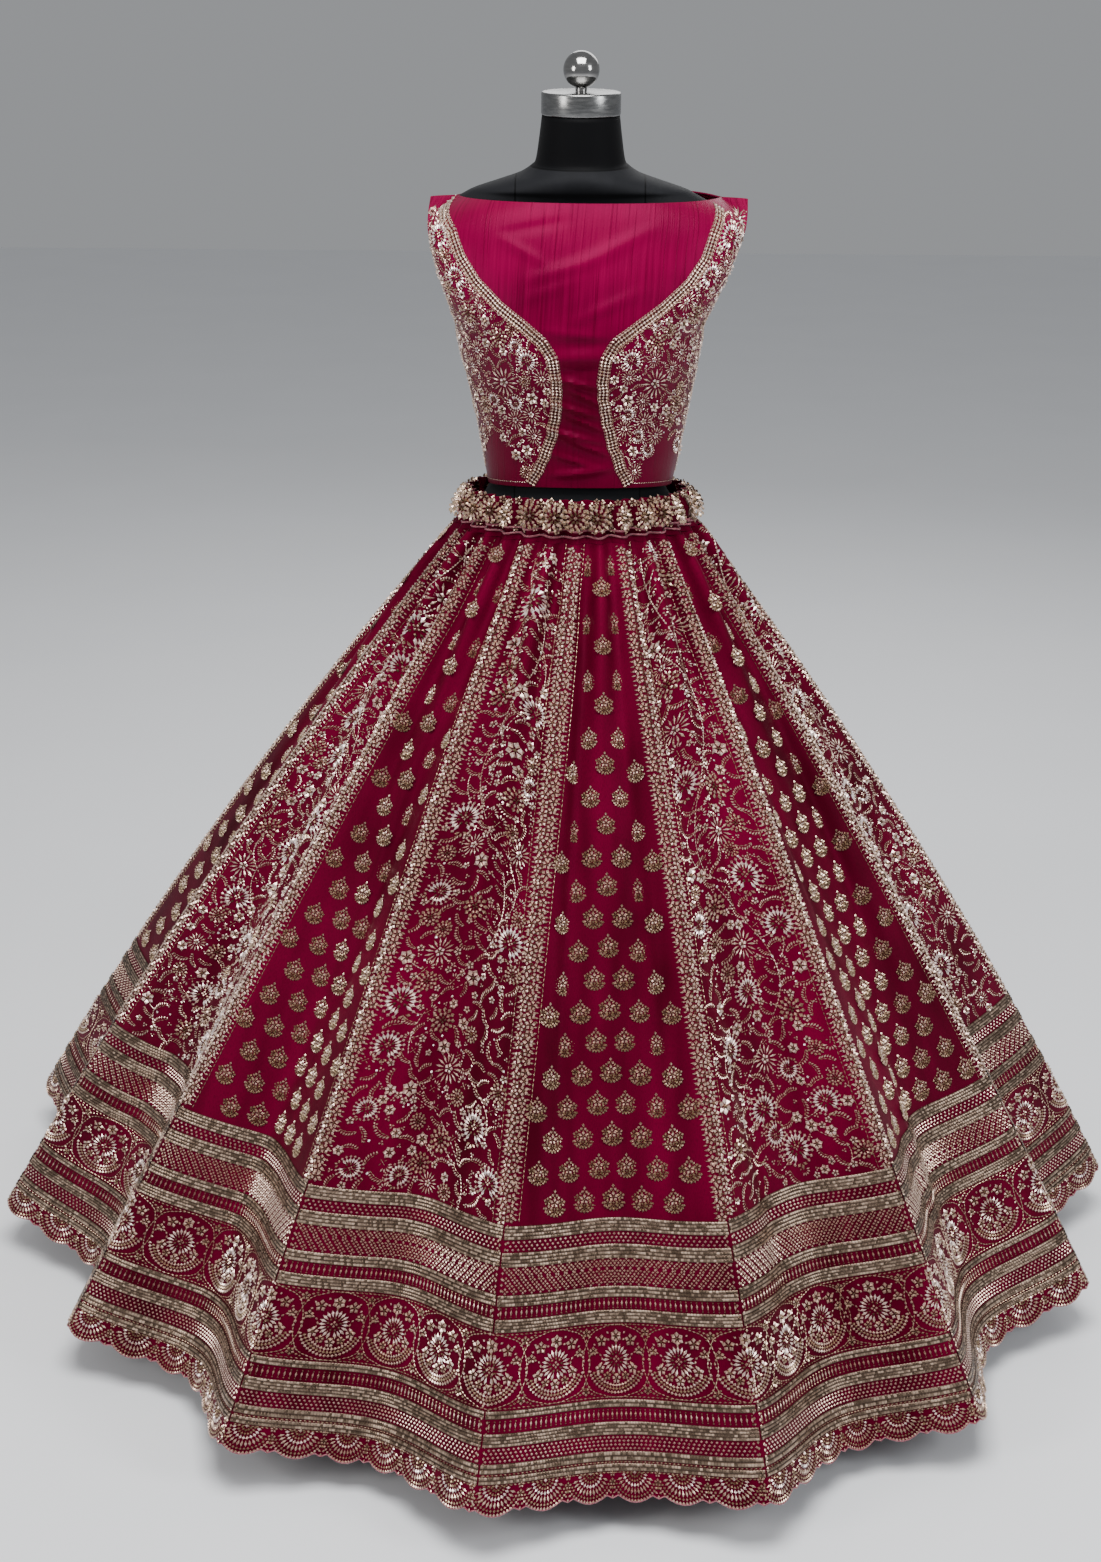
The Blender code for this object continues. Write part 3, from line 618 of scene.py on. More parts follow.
class Skirt:
    """Every kali as a grid of points and normals, read by place round the skirt and height up."""

    def __init__(self):
        share = np.linspace(0, 1, HEM_POINTS + 1)
        t = np.linspace(0, 1, PANEL_STEPS + 1)
        points, normals, lengths, widths = [], [], [], []
        for index in range(PANELS):
            inset = np.clip(share, 1e-5, 1 - 1e-5)
            q, down = np.meshgrid(index + inset, t)
            grid = skirt_points(q, down)
            face = grid_normals(grid)
            along = np.linalg.norm(np.diff(grid, axis=0), axis=2)
            length = along.sum(0)
            up = np.vstack((length, length - np.cumsum(along, axis=0)))
            width = np.linalg.norm(np.diff(grid, axis=1), axis=2).sum(1)
            lift = self.creases(q, up, width[:, None])
            grid = grid + face * lift[..., None]
            points.append(grid)
            normals.append(grid_normals(grid))
            lengths.append(length)
            widths.append(width)
        self.points = np.array(points)
        self.normals = np.array(normals)
        self.lengths = np.array(lengths)
        self.widths = np.array(widths)
        drops = np.linalg.norm(np.diff(self.points, axis=1), axis=3).mean(2)
        shares = np.concatenate((np.zeros((PANELS, 1)), np.cumsum(drops, axis=1)), axis=1)
        self.down_shares = shares / shares[:, -1:]

    def creases(self, q, up, width):
        lift = np.zeros_like(q)
        for place, low, high, drift, depth, half in CREASES:
            if int(place) != int(q[0, 1]):
                continue
            along = (up - low) / (high - low)
            window = np.clip(along, 0, 1) * np.clip(1 - along, 0, 1) * 4
            across = (q - place) * width - drift * along
            lift += depth * np.sqrt(window) * window * np.exp(-(across / half) ** 2)
        panel = int(q[0, 1])
        for number, place in enumerate(UPPER_CREASES):
            low = UPPER_CREASE_FOOT + UPPER_CREASE_FOOT_VARIES * math.sin(2.3 * panel + 1.7 * number)
            along = np.clip((up - low) / (UPPER_CREASE_TOP - low), 0, 1)
            drift = UPPER_CREASE_DRIFT * math.sin(panel + number) * (1 - along)
            across = (q - panel - place) * width - drift
            depth = UPPER_CREASE_DEPTH * (0.8 + 0.3 * math.sin(3.1 * panel + number))
            fade = np.clip((1 - along) * 8, 0, 1)
            fold = np.exp(-(across / UPPER_CREASE_REACH) ** 2)
            lift += (-1) ** (number + 1) * depth * along * fade * fold
        from_seam = np.minimum(q - panel, panel + 1 - q) * width
        return lift * np.clip(from_seam / CREASE_FADE, 0, 1)

    def row(self, panel, share, up):
        """The grid's row at a height up from the hem, as a float."""
        column = np.clip(share, 0, 1) * HEM_POINTS
        low = np.minimum(column.astype(int), HEM_POINTS - 1)
        part = column - low
        length = self.lengths[panel, low] * (1 - part) + self.lengths[panel, low + 1] * part
        down = 1 - up / length
        rows = np.empty_like(down)
        for index in range(PANELS):
            here = panel == index
            if here.any():
                rows[here] = np.interp(down[here], self.down_shares[index], np.arange(PANEL_STEPS + 1))
        return rows, low, part

    def width(self, q, up):
        """The cloth's width from seam to seam at a height up from the hem."""
        q = np.asarray(q, float)
        panel = np.floor(q).astype(int) % PANELS
        rows, _, _ = self.row(panel, np.full(q.shape, 0.5), np.asarray(up, float))
        low = np.clip(rows.astype(int), 0, PANEL_STEPS - 1)
        part = rows - low
        return self.widths[panel, low] * (1 - part) + self.widths[panel, low + 1] * part

    def read(self, q, up):
        """Points and normals at places q round the skirt and heights up from the hem."""
        q = np.asarray(q, float)
        up = np.asarray(up, float)
        whole = np.floor(q).astype(int)
        panel = whole % PANELS
        rows, column, across = self.row(panel, q - whole, np.maximum(up, 0))
        low = np.clip(rows.astype(int), 0, PANEL_STEPS - 1)
        down = (rows - low)[:, None]
        across = across[:, None]
        out = []
        for grid in (self.points, self.normals):
            upper = grid[panel, low, column] * (1 - across) + grid[panel, low, column + 1] * across
            lower = grid[panel, low + 1, column] * (1 - across) + grid[panel, low + 1, column + 1] * across
            out.append(upper * (1 - down) + lower * down)
        below = np.minimum(up, 0)
        fall = self.points[panel, -1, column] - self.points[panel, -2, column]
        fall /= np.linalg.norm(fall, axis=1, keepdims=True)
        normal = out[1] / np.linalg.norm(out[1], axis=1, keepdims=True)
        return out[0] - fall * below[:, None], normal


skirt = Skirt()


# Meshes from arrays
def mesh_object(name, points, faces, finish, smooth=True, uv=None, tint=None):
    """One mesh object from arrays. faces is a list of arrays, each with faces of one size."""
    mesh = bpy.data.meshes.new(name)
    faces = [np.asarray(f, int) for f in faces if len(f)]
    loops = np.concatenate([f.ravel() for f in faces])
    sizes = np.concatenate([np.full(len(f), f.shape[1]) for f in faces])
    mesh.vertices.add(len(points))
    mesh.vertices.foreach_set("co", np.asarray(points, np.float32).ravel())
    mesh.loops.add(len(loops))
    mesh.loops.foreach_set("vertex_index", loops.astype(np.int32))
    mesh.polygons.add(len(sizes))
    mesh.polygons.foreach_set("loop_start", (np.cumsum(sizes) - sizes).astype(np.int32))
    if uv is not None:
        layer = mesh.uv_layers.new(name="cloth")
        layer.uv.foreach_set("vector", np.asarray(uv, np.float32)[loops].ravel())
    if tint is not None:
        mesh.attributes.new("tint", "FLOAT", "POINT").data.foreach_set("value", np.asarray(tint, np.float32))
    mesh.update(calc_edges=True)
    mesh.validate()
    if smooth:
        mesh.shade_smooth()
    else:
        mesh.shade_flat()
    mesh.materials.append(finish)
    made = bpy.data.objects.new(name, mesh)
    bpy.context.scene.collection.objects.link(made)
    return made


def grid_faces(rows, columns, wrap=False, first=0, turned=False):
    """Faces of a grid of points, its rows running down."""
    count = columns if wrap else columns - 1
    r, c = np.meshgrid(np.arange(rows - 1), np.arange(count), indexing="ij")
    n = (c + 1) % columns
    quads = np.stack((r * columns + c, (r + 1) * columns + c, (r + 1) * columns + n, r * columns + n), -1)
    quads = quads.reshape(-1, 4) + first
    return quads[:, ::-1] if turned else quads


def shell(name, outer, inner, finish, uv=None, wrap=False, sharp_deg=40.0):
    """A closed thin shell between two grids of equal size, rows running down."""
    rows, columns = outer.shape[:2]
    n = rows * columns
    faces = [grid_faces(rows, columns, wrap), grid_faces(rows, columns, wrap, n, True)]
    index = np.arange(n).reshape(rows, columns)
    loops = [(index[0], True), (index[-1], False)]
    if not wrap:
        loops += [(index[:, 0], False), (index[:, -1], True)]
    for line, flip in loops:
        a, b = line[:-1], line[1:]
        if wrap:
            a, b = line, np.roll(line, -1)
        edge = np.stack((a, a + n, b + n, b), -1)
        faces.append(edge[:, ::-1] if flip else edge)
    points = np.concatenate((outer.reshape(-1, 3), inner.reshape(-1, 3)))
    both = None if uv is None else np.concatenate((uv.reshape(-1, 2), uv.reshape(-1, 2)))
    made = mesh_object(name, points, faces, finish, uv=both)
    made.data.set_sharp_from_angle(angle=math.radians(sharp_deg))
    return made


# Motifs of beads
class Motif:
    """Small raised shapes on a flat ground: points as across, up and height, with a tint each."""

    def __init__(self):
        self.points = []
        self.faces = []
        self.tints = []

    def bead(self, x, y, length, width, turn, tint, rise=None):
        """One long bead, petal or cut stone: four faces up to a point."""
        high = 0.55 * width if rise is None else rise
        along = (math.cos(turn), math.sin(turn))
        side = (-along[1], along[0])
        base = len(self.points)
        for a, s, h in ((-0.5, 0, 0.1), (0.05, -0.5, 0.1), (0.5, 0, 0.1), (0.05, 0.5, 0.1), (0.05, 0, 1.0)):
            self.points.append((
                x + along[0] * a * length + side[0] * s * width,
                y + along[1] * a * length + side[1] * s * width,
                high * h,
            ))
            self.tints.append(tint)
        for i in range(4):
            self.faces.append((base + i, base + (i + 1) % 4, base + 4))

    def arc(self, x, y, count, radius, length, width, tint, start, end, spin=0.0, rise=None):
        """Beads along an arc in degrees, each lying outwards or turned by spin."""
        for i in range(count):
            turn = math.radians(start + (end - start) * i / max(1, count - 1))
            self.bead(x + radius * math.cos(turn), y + radius * math.sin(turn), length, width,
                      turn + math.radians(spin), tint, rise)

    def ring(self, x, y, count, radius, length, width, tint, start=90.0, spin=0.0, rise=None):
        end = start + 360.0 * (count - 1) / count
        self.arc(x, y, count, radius, length, width, tint, start, end, spin, rise)

    def flower(self, x, y, radius, tint, petals=5, heart=0.25):
        """Petals round a darker heart."""
        self.ring(x, y, petals, 0.62 * radius, 0.80 * radius, 0.70 * radius, tint)
        self.bead(x, y, 0.5 * radius, 0.5 * radius, 0, heart, rise=0.4 * radius)

    def chain(self, path, length, width, tint):
        """Beads laid end to end along a path of points."""
        for (x0, y0), (x1, y1) in zip(path, path[1:]):
            steps = max(1, round(math.hypot(x1 - x0, y1 - y0) / length))
            turn = math.atan2(y1 - y0, x1 - x0)
            for i in range(steps):
                part = (i + 0.5) / steps
                self.bead(x0 + (x1 - x0) * part, y0 + (y1 - y0) * part, length, width, turn, tint)

    def arrays(self):
        return np.array(self.points), np.array(self.faces), np.array(self.tints)


def single(length, width, turn, tint, rise=None):
    m = Motif()
    m.bead(0, 0, length, width, turn, tint, rise)
    return m


def single_flower(radius, tint, petals=5, heart=0.25):
    m = Motif()
    m.flower(0, 0, radius, tint, petals, heart)
    return m


def butti():
    """A posy: a trefoil on a stem over a rounded cluster of florets and a bowl of beads."""
    m = Motif()
    m.ring(0, 0.0128, 3, 0.0029, 0.0048, 0.0040, 0.62)
    m.bead(0, 0.0078, 0.0052, 0.0026, math.pi / 2, 0.40)
    for x, y, radius, tint in (
        (-0.0090, 0.0036, 0.0052, 0.48), (0.0090, 0.0036, 0.0052, 0.58), (0.0, 0.0022, 0.0062, 0.76),
        (-0.0074, -0.0056, 0.0056, 0.62), (0.0074, -0.0056, 0.0056, 0.46), (0.0, -0.0082, 0.0052, 0.40),
    ):
        m.flower(x, y, radius, tint, 5, 0.30)
    for side in (-1, 1):
        m.bead(side * 0.0052, 0.0088, 0.0044, 0.0030, math.pi / 2 - side * 0.7, 0.60)
    m.arc(0, 0.0012, 9, 0.0142, 0.0040, 0.0034, 0.54, 205, 335)
    return m


def bloom():
    """A horseshoe of bright rods round a dark heart, with a rim of beads."""
    m = Motif()
    m.arc(0, 0, 17, 0.0100, 0.0070, 0.0031, 0.92, -62, 242, rise=0.0020)
    m.arc(0, 0, 17, 0.0148, 0.0034, 0.0032, 0.78, -60, 240)
    m.ring(0, 0, 7, 0.0052, 0.0032, 0.0026, 0.24)
    m.ring(0, 0.001, 4, 0.0019, 0.0026, 0.0022, 0.66)
    m.arc(0, -0.0128, 3, 0.0036, 0.0044, 0.0026, 0.56, 210, 330)
    return m


def burst():
    """A burst of thin rods round a floret."""
    m = Motif()
    m.ring(0, 0, 15, 0.0092, 0.0084, 0.0019, 0.72)
    m.flower(0, 0, 0.0046, 0.88)
    return m


def rosette():
    """A full gold flower of three rings."""
    m = Motif()
    m.ring(0, 0, 12, 0.0094, 0.0048, 0.0038, 0.58)
    m.ring(0, 0, 9, 0.0056, 0.0042, 0.0032, 0.72, start=80, rise=0.0022)
    m.ring(0, 0, 4, 0.0020, 0.0030, 0.0026, 0.36, rise=0.0026)
    return m


def leaf():
    """A curved leaf of slanted rods over a thin rib."""
    m = Motif()
    for i in range(7):
        x = -0.0096 + 0.0032 * i
        bend = 0.0034 * math.sin(math.pi * i / 6)
        m.bead(x, bend, 0.0050 - 0.0003 * abs(i - 2), 0.0021, 1.1, 0.70)
    m.chain(((-0.0110, -0.0020), (0.0, 0.0), (0.0105, -0.0020)), 0.0055, 0.0010, 0.52)
    return m


def spray():
    """A short stem with a fan of rods."""
    m = Motif()
    m.chain(((-0.0095, 0.0), (0.0, 0.0)), 0.0034, 0.0011, 0.56)
    m.arc(0, 0, 5, 0.0062, 0.0052, 0.0022, 0.80, -62, 62)
    m.arc(-0.005, 0, 2, 0.0038, 0.0036, 0.0016, 0.50, -80, 80)
    return m


def trefoil():
    m = Motif()
    m.ring(0, 0, 3, 0.0019, 0.0028, 0.0024, 0.76)
    return m


# Each motif of the vines, with the radius that it keeps free round itself
SPRIGS = {
    "bloom": (bloom(), 0.0162),
    "burst": (burst(), 0.0134),
    "rosette": (rosette(), 0.0116),
    "daisy": (single_flower(0.0074, 0.84, 6), 0.0080),
    "leaf": (leaf(), 0.0092),
    "spray": (spray(), 0.0084),
    "floret": (single_flower(0.0050, 0.84), 0.0054),
    "trefoil": (trefoil(), 0.0034),
    "sequin": (single(0.0034, 0.0034, 0, 0.96, 0.0009), 0.0026),
    "stem": (single(0.0044, 0.0015, 0, 0.74), 0.0),
}


def medallion():
    """A sunburst over a crescent bowl, with scrolls, florets and a trefoil above."""
    m = Motif()
    for radius, count, reach, tint in (
        (0.0362, 22, 72, 0.76), (0.0320, 19, 66, 0.52), (0.0280, 15, 58, 0.80),
    ):
        m.arc(0, 0, count, radius, 0.0044, 0.0038, tint, 270 - reach, 270 + reach)
    m.arc(0, 0.002, 19, 0.0136, 0.0092, 0.0034, 0.88, -75, 255, rise=0.0021)
    m.ring(0, 0.002, 9, 0.0072, 0.0036, 0.0030, 0.26)
    m.ring(0, 0.002, 4, 0.0026, 0.0036, 0.0032, 0.70)
    m.flower(0, 0.0285, 0.0080, 0.78, 6)
    m.bead(0, 0.0200, 0.0050, 0.0024, math.pi / 2, 0.46)
    for side in (-1, 1):
        m.flower(side * 0.0195, 0.0235, 0.0074, 0.70)
        m.flower(side * 0.0215, -0.0085, 0.0066, 0.80)
        m.flower(side * 0.0120, -0.0170, 0.0054, 0.60)
        m.flower(side * 0.0305, 0.0120, 0.0056, 0.66)
        m.arc(side * 0.0275, 0.0015, 9, 0.0088, 0.0040, 0.0026, 0.66,
              90 - side * 120, 90 + side * 150, spin=90)
        for x, y in ((0.0290, 0.0195), (0.0105, 0.0245), (0.0265, 0.0275), (0.0115, 0.0325)):
            m.bead(side * x, y, 0.0038, 0.0028, 0.6 * side, 0.74)
    m.flower(0, -0.0205, 0.0062, 0.80)
    m.arc(0, -0.011, 4, 0.0050, 0.0038, 0.0024, 0.50, 200, 340)
    return m


def field_edge():
    """The thin gold line round a medallion's lobed field."""
    m = Motif()
    path = []
    for i in range(27):
        turn = 2 * math.pi * i / 26
        lobe = 1.0 + 0.02 * math.cos(8 * turn)
        x, y = math.cos(turn), math.sin(turn)
        across = 0.0425 * lobe * math.copysign(abs(x) ** 0.8, x)
        up = 0.0405 * lobe * math.copysign(abs(y) ** 0.8, y)
        path.append((across, up))
    m.chain(path, 0.0046, 0.0017, 0.58)
    return m


def field_posy():
    """A floret and side beads over a drop, for the corners between medallions."""
    m = Motif()
    m.flower(0, 0.0, 0.0056, 0.60)
    for side in (-1, 1):
        m.bead(side * 0.0078, 0.0032, 0.0040, 0.0028, 0, 0.52)
        m.bead(side * 0.0120, 0.0050, 0.0034, 0.0024, 0, 0.44)
        m.bead(side * 0.0046, -0.0052, 0.0030, 0.0022, 0, 0.60)
    m.chain(((0, -0.0066), (0, -0.0150)), 0.0034, 0.0014, 0.50)
    return m


def fan():
    """The bead fan of one hem scallop, opening downwards from its middle."""
    m = Motif()
    for radius, count, reach, length, width, tint in (
        (0.0298, 17, 58, 0.0036, 0.0032, 0.70), (0.0258, 15, 62, 0.0034, 0.0030, 0.50),
        (0.0200, 13, 70, 0.0074, 0.0030, 0.68), (0.0136, 11, 80, 0.0050, 0.0032, 0.90),
        (0.0090, 9, 84, 0.0036, 0.0026, 0.46),
    ):
        m.arc(0, 0.0240, count, radius, length, width, tint, 270 - reach, 270 + reach)
    m.arc(0, 0.0240, 5, 0.0048, 0.0036, 0.0030, 0.34, 200, 340)
    m.bead(0, 0.0240, 0.0044, 0.0044, 0, 0.84)
    return m


def notch_posy():
    """The small cluster over the narrow scallop between two fans."""
    m = Motif()
    m.ring(0, 0.0018, 3, 0.0026, 0.0034, 0.0026, 0.66, start=270)
    m.bead(0, 0.0078, 0.0040, 0.0026, math.pi / 2, 0.40)
    m.flower(0, 0.0136, 0.0042, 0.60)
    m.flower(0, 0.0222, 0.0036, 0.70)
    return m


def header_flower():
    """A heaped round flower of cup sequins on the header."""
    m = Motif()
    m.ring(0, 0, 13, 0.0122, 0.0064, 0.0044, 0.54, rise=0.0022)
    m.ring(0, 0, 10, 0.0082, 0.0058, 0.0038, 0.76, start=96, rise=0.0030)
    m.ring(0, 0, 7, 0.0044, 0.0050, 0.0036, 0.26, rise=0.0034)
    m.bead(0, 0, 0.0044, 0.0044, 0, 0.80, rise=0.0042)
    return m


def four_dots():
    m = Motif()
    m.ring(0, 0, 4, 0.0023, 0.0032, 0.0026, 0.68, start=90)
    return m


def pearl_column():
    """An upright oval pearl between two small beads."""
    m = Motif()
    m.bead(0, 0, 0.0072, 0.0026, math.pi / 2, 0.66, rise=0.0016)
    m.bead(0, 0.0050, 0.0024, 0.0024, 0, 0.40)
    m.bead(0, -0.0050, 0.0024, 0.0024, 0, 0.40)
    return m


# Laying motifs
def seats_on_skirt(q, up):
    """Place, outward and upward directions for motifs on the skirt."""
    up = np.minimum(up, top_of(q) - SEAT_MARGIN)
    point, normal = skirt.read(q, up)
    below, _ = skirt.read(q, up - SEAT_STEP)
    rising = point - below
    return point, normal, rising / np.linalg.norm(rising, axis=1, keepdims=True)


def bend_motifs(placements, read):
    """Bends motifs onto a cloth. Placements are (motif, x, up, turn, size), and read seats points."""
    points, faces, tints = [], [], []
    first = 0
    for motif, x, up, turn, size in placements:
        shape, tris, tint = motif.arrays()
        x, up, turn, size = (np.asarray(v, float)[:, None] for v in (x, up, turn, size))
        a = (shape[:, 0] * np.cos(turn) - shape[:, 1] * np.sin(turn)) * size
        b = (shape[:, 0] * np.sin(turn) + shape[:, 1] * np.cos(turn)) * size
        place, normal = read(x, up, a, b)
        high = (shape[None, :, 2] * size).ravel() + MOTIF_LIFT
        points.append(place + normal * high[:, None])
        count = len(x)
        faces.append((tris[None] + np.arange(count)[:, None, None] * len(shape) + first).reshape(-1, 3))
        tints.append(np.tile(tint, count))
        first += count * len(shape)
    return np.concatenate(points), [np.concatenate(faces)], np.concatenate(tints)


def bead_piece(name, placements, read):
    points, faces, tints = bend_motifs(placements, read)
    return mesh_object(name, points, faces, gold_beads, smooth=False, tint=tints)


def read_skirt(q, up, a, b):
    here = q + a / skirt.width(q[:, 0], up[:, 0])[:, None]
    return skirt.read(here.ravel(), (up + b).ravel())


class Vines:
    """Places for flowering trails and their fill, in a field between two edges at each height."""

    def __init__(self, low, high, edges, seed, hollow=0.0):
        self.low, self.high, self.edges, self.hollow = low, high, edges, hollow
        self.luck = np.random.default_rng(seed)
        self.taken = np.full((6000, 3), -9.0)
        self.count = 0
        self.rows = {name: [] for name in SPRIGS}

    def free(self, x, up, radius, closeness=0.86):
        spots = self.taken[:self.count]
        return bool((np.hypot(spots[:, 0] - x, spots[:, 1] - up) > (spots[:, 2] + radius) * closeness).all())

    def put(self, kind, x, up, turn, size=1.0):
        self.rows[kind].append((x, up, turn, size))
        if kind != "stem":
            self.taken[self.count] = (x, up, SPRIGS[kind][1] * size)
            self.count += 1

    def foot(self, x, left, right):
        """The field's low edge at x, which rises by the hollow in its middle."""
        return self.low + self.hollow * (1 - abs(2 * (x - left) / max(right - left, 1e-6) - 1))

    def fits(self, kind, x, up, size=1.0):
        left, right = self.edges(up)
        radius = SPRIGS[kind][1] * size
        low = self.foot(x, left, right)
        inside = left + 0.6 * radius < x < right - 0.6 * radius and low < up < self.high - 0.4 * radius
        return inside and self.free(x, up, radius)

    def stem(self, path):
        """Stem beads along a path, left out under flowers."""
        for (x0, u0), (x1, u1) in zip(path, path[1:]):
            x, up = (x0 + x1) / 2, (u0 + u1) / 2
            left, right = self.edges(up)
            if left < x < right and up > self.foot(x, left, right) and self.free(x, up, 0.0, 0.75):
                self.put("stem", x, up, math.atan2(u1 - u0, x1 - x0))

    def trail(self, phase, sway, wave, kinds, reach=0.030, scale=1.0):
        """A waving stem from low to high with flowers on side shoots and leaves between."""
        ups = np.arange(self.low + VINE_START, self.high - VINE_END, VINE_STEP)
        path = []
        for up in ups:
            left, right = self.edges(up)
            swing = sway * math.sin(2 * math.pi * up / wave + phase)
            path.append(((left + right) / 2 + (right - left) / 2 * swing, up))
        shoots = []
        for number, i in enumerate(range(3, len(path) - 4, 7)):
            x, up = path[i]
            side = -1 if number % 2 else 1
            kind = kinds[number % len(kinds)]
            for length in (reach, 0.75 * reach, 0.5 * reach):
                tip = (x + side * length, up + 0.6 * length)
                if self.fits(kind, *tip, scale):
                    size = scale * float(self.luck.uniform(0.9, 1.1))
                    self.put(kind, *tip, float(self.luck.uniform(-0.4, 0.4)), size)
                    shoots.append([
                        (x + side * length * t, up + 0.6 * length * t ** 1.8) for t in np.linspace(0, 1, 8)
                    ])
                    break
        for number, i in enumerate(range(1, len(path) - 3, 3)):
            x, up = path[i]
            side = 1 if number % 2 else -1
            turn = math.pi / 2 - side * float(self.luck.uniform(0.7, 1.2))
            kind = "spray" if number % 4 == 1 else "leaf"
            for away in (0.0105, 0.0150):
                spot = (x + away * math.cos(turn), up + away * math.sin(turn))
                if self.fits(kind, *spot, 0.8):
                    self.put(kind, *spot, turn, float(self.luck.uniform(0.78, 1.0)))
                    break
        for line in [path, *shoots]:
            self.stem(line)

    def fill(self, kind, tries, scale=1.0):
        for _ in range(tries):
            up = float(self.luck.uniform(self.low, self.high))
            left, right = self.edges(up)
            if right <= left:
                continue
            x = float(self.luck.uniform(left, right))
            size = scale * float(self.luck.uniform(0.85, 1.08))
            if self.fits(kind, x, up, size):
                self.put(kind, x, up, float(self.luck.uniform(0, 2 * math.pi)), size)


def motif_tree():
    """Sets a motif on every seat point, turned by the seat's own directions, as real mesh."""
    tree = bpy.data.node_groups.new("lay_motifs", "GeometryNodeTree")
    sockets = {}
    inputs = (("Seats", "Geometry"), ("Motifs", "Collection"), ("Finish", "Material"), ("Size", "Float"))
    for name, kind in inputs:
        socket_type = "NodeSocket" + kind
        sockets[name] = tree.interface.new_socket(name, in_out="INPUT", socket_type=socket_type)
    tree.interface.new_socket("Beads", in_out="OUTPUT", socket_type="NodeSocketGeometry")

    def add(kind, settings=None, **links):
        node = tree.nodes.new(kind)
        for name, value in (settings or {}).items():
            setattr(node, name, value)
        for name, value in links.items():
            socket = node.inputs[name.replace("_", " ")]
            if isinstance(value, bpy.types.NodeSocket):
                tree.links.new(value, socket)
            else:
                socket.default_value = value
        return node

    def seat_value(name, kind):
        node = add("GeometryNodeInputNamedAttribute", {"data_type": kind}, Name=name)
        return next(s for s in node.outputs if s.enabled and s.name == "Attribute")

    given = add("NodeGroupInput")
    motifs = add("GeometryNodeCollectionInfo", None, Collection=given.outputs["Motifs"],
                 Separate_Children=True, Reset_Children=True)
    facing = add("FunctionNodeAlignRotationToVector", {"axis": "Z"},
                 Vector=seat_value("facing", "FLOAT_VECTOR"))
    rising = add("FunctionNodeAlignRotationToVector", {"axis": "Y", "pivot_axis": "Z"},
                 Rotation=facing.outputs[0], Vector=seat_value("rising", "FLOAT_VECTOR"))
    scale = add("ShaderNodeMath", {"operation": "MULTIPLY"})
    tree.links.new(seat_value("size", "FLOAT"), scale.inputs[0])
    tree.links.new(given.outputs["Size"], scale.inputs[1])
    laid = add("GeometryNodeInstanceOnPoints", None, Points=given.outputs["Seats"],
               Instance=motifs.outputs[0], Pick_Instance=True, Instance_Index=seat_value("kind", "INT"),
               Rotation=rising.outputs[0], Scale=scale.outputs[0])
    real = add("GeometryNodeRealizeInstances", None, Geometry=laid.outputs[0])
    finished = add("GeometryNodeSetMaterial", None, Geometry=real.outputs[0],
                   Material=given.outputs["Finish"])
    out = add("NodeGroupOutput")
    tree.links.new(finished.outputs[0], out.inputs[0])
    return tree, {name: socket.identifier for name, socket in sockets.items()}


LAY_TREE, LAY_INPUTS = motif_tree()


def lay_with_nodes(name, kinds, seats, finish, size=1.0):
    """A bead piece from seats: rows of (kind, points, facings, risings, sizes)."""
    collection = bpy.data.collections.new(name + "_kinds")
    for i, motif in enumerate(kinds):
        shape, tris, tint = motif.arrays()
        part = mesh_object(f"{i:02d}_{name}_kind", shape, [tris], finish, smooth=False, tint=tint)
        bpy.context.scene.collection.objects.unlink(part)
        collection.objects.link(part)
    place = np.concatenate([s[1] for s in seats])
    mesh = bpy.data.meshes.new(name + "_seats")
    mesh.vertices.add(len(place))
    mesh.vertices.foreach_set("co", place.astype(np.float32).ravel())
    values = (
        ("facing", "FLOAT_VECTOR", "vector", np.concatenate([s[2] for s in seats])),
        ("rising", "FLOAT_VECTOR", "vector", np.concatenate([s[3] for s in seats])),
        ("size", "FLOAT", "value", np.concatenate([s[4] for s in seats])),
        ("kind", "INT", "value", np.concatenate([np.full(len(s[1]), s[0]) for s in seats])),
    )
    for label, kind, field, data in values:
        data = data.astype(np.int32 if kind == "INT" else np.float32)
        mesh.attributes.new(label, kind, "POINT").data.foreach_set(field, data.ravel())
    holder = bpy.data.objects.new(name + "_seats", mesh)
    bpy.context.scene.collection.objects.link(holder)
    modifier = holder.modifiers.new("lay", "NODES")
    modifier.node_group = LAY_TREE
    modifier[LAY_INPUTS["Motifs"]] = collection
    modifier[LAY_INPUTS["Finish"]] = finish
    modifier[LAY_INPUTS["Size"]] = size
    bpy.context.view_layer.update()
    done = bpy.data.meshes.new_from_object(holder.evaluated_get(bpy.context.evaluated_depsgraph_get()))
    done.name = name
    done.shade_flat()
    bpy.data.objects.remove(holder)
    for part in list(collection.objects):
        bpy.data.objects.remove(part)
    bpy.data.collections.remove(collection)
    made = bpy.data.objects.new(name, done)
    bpy.context.scene.collection.objects.link(made)
    return made


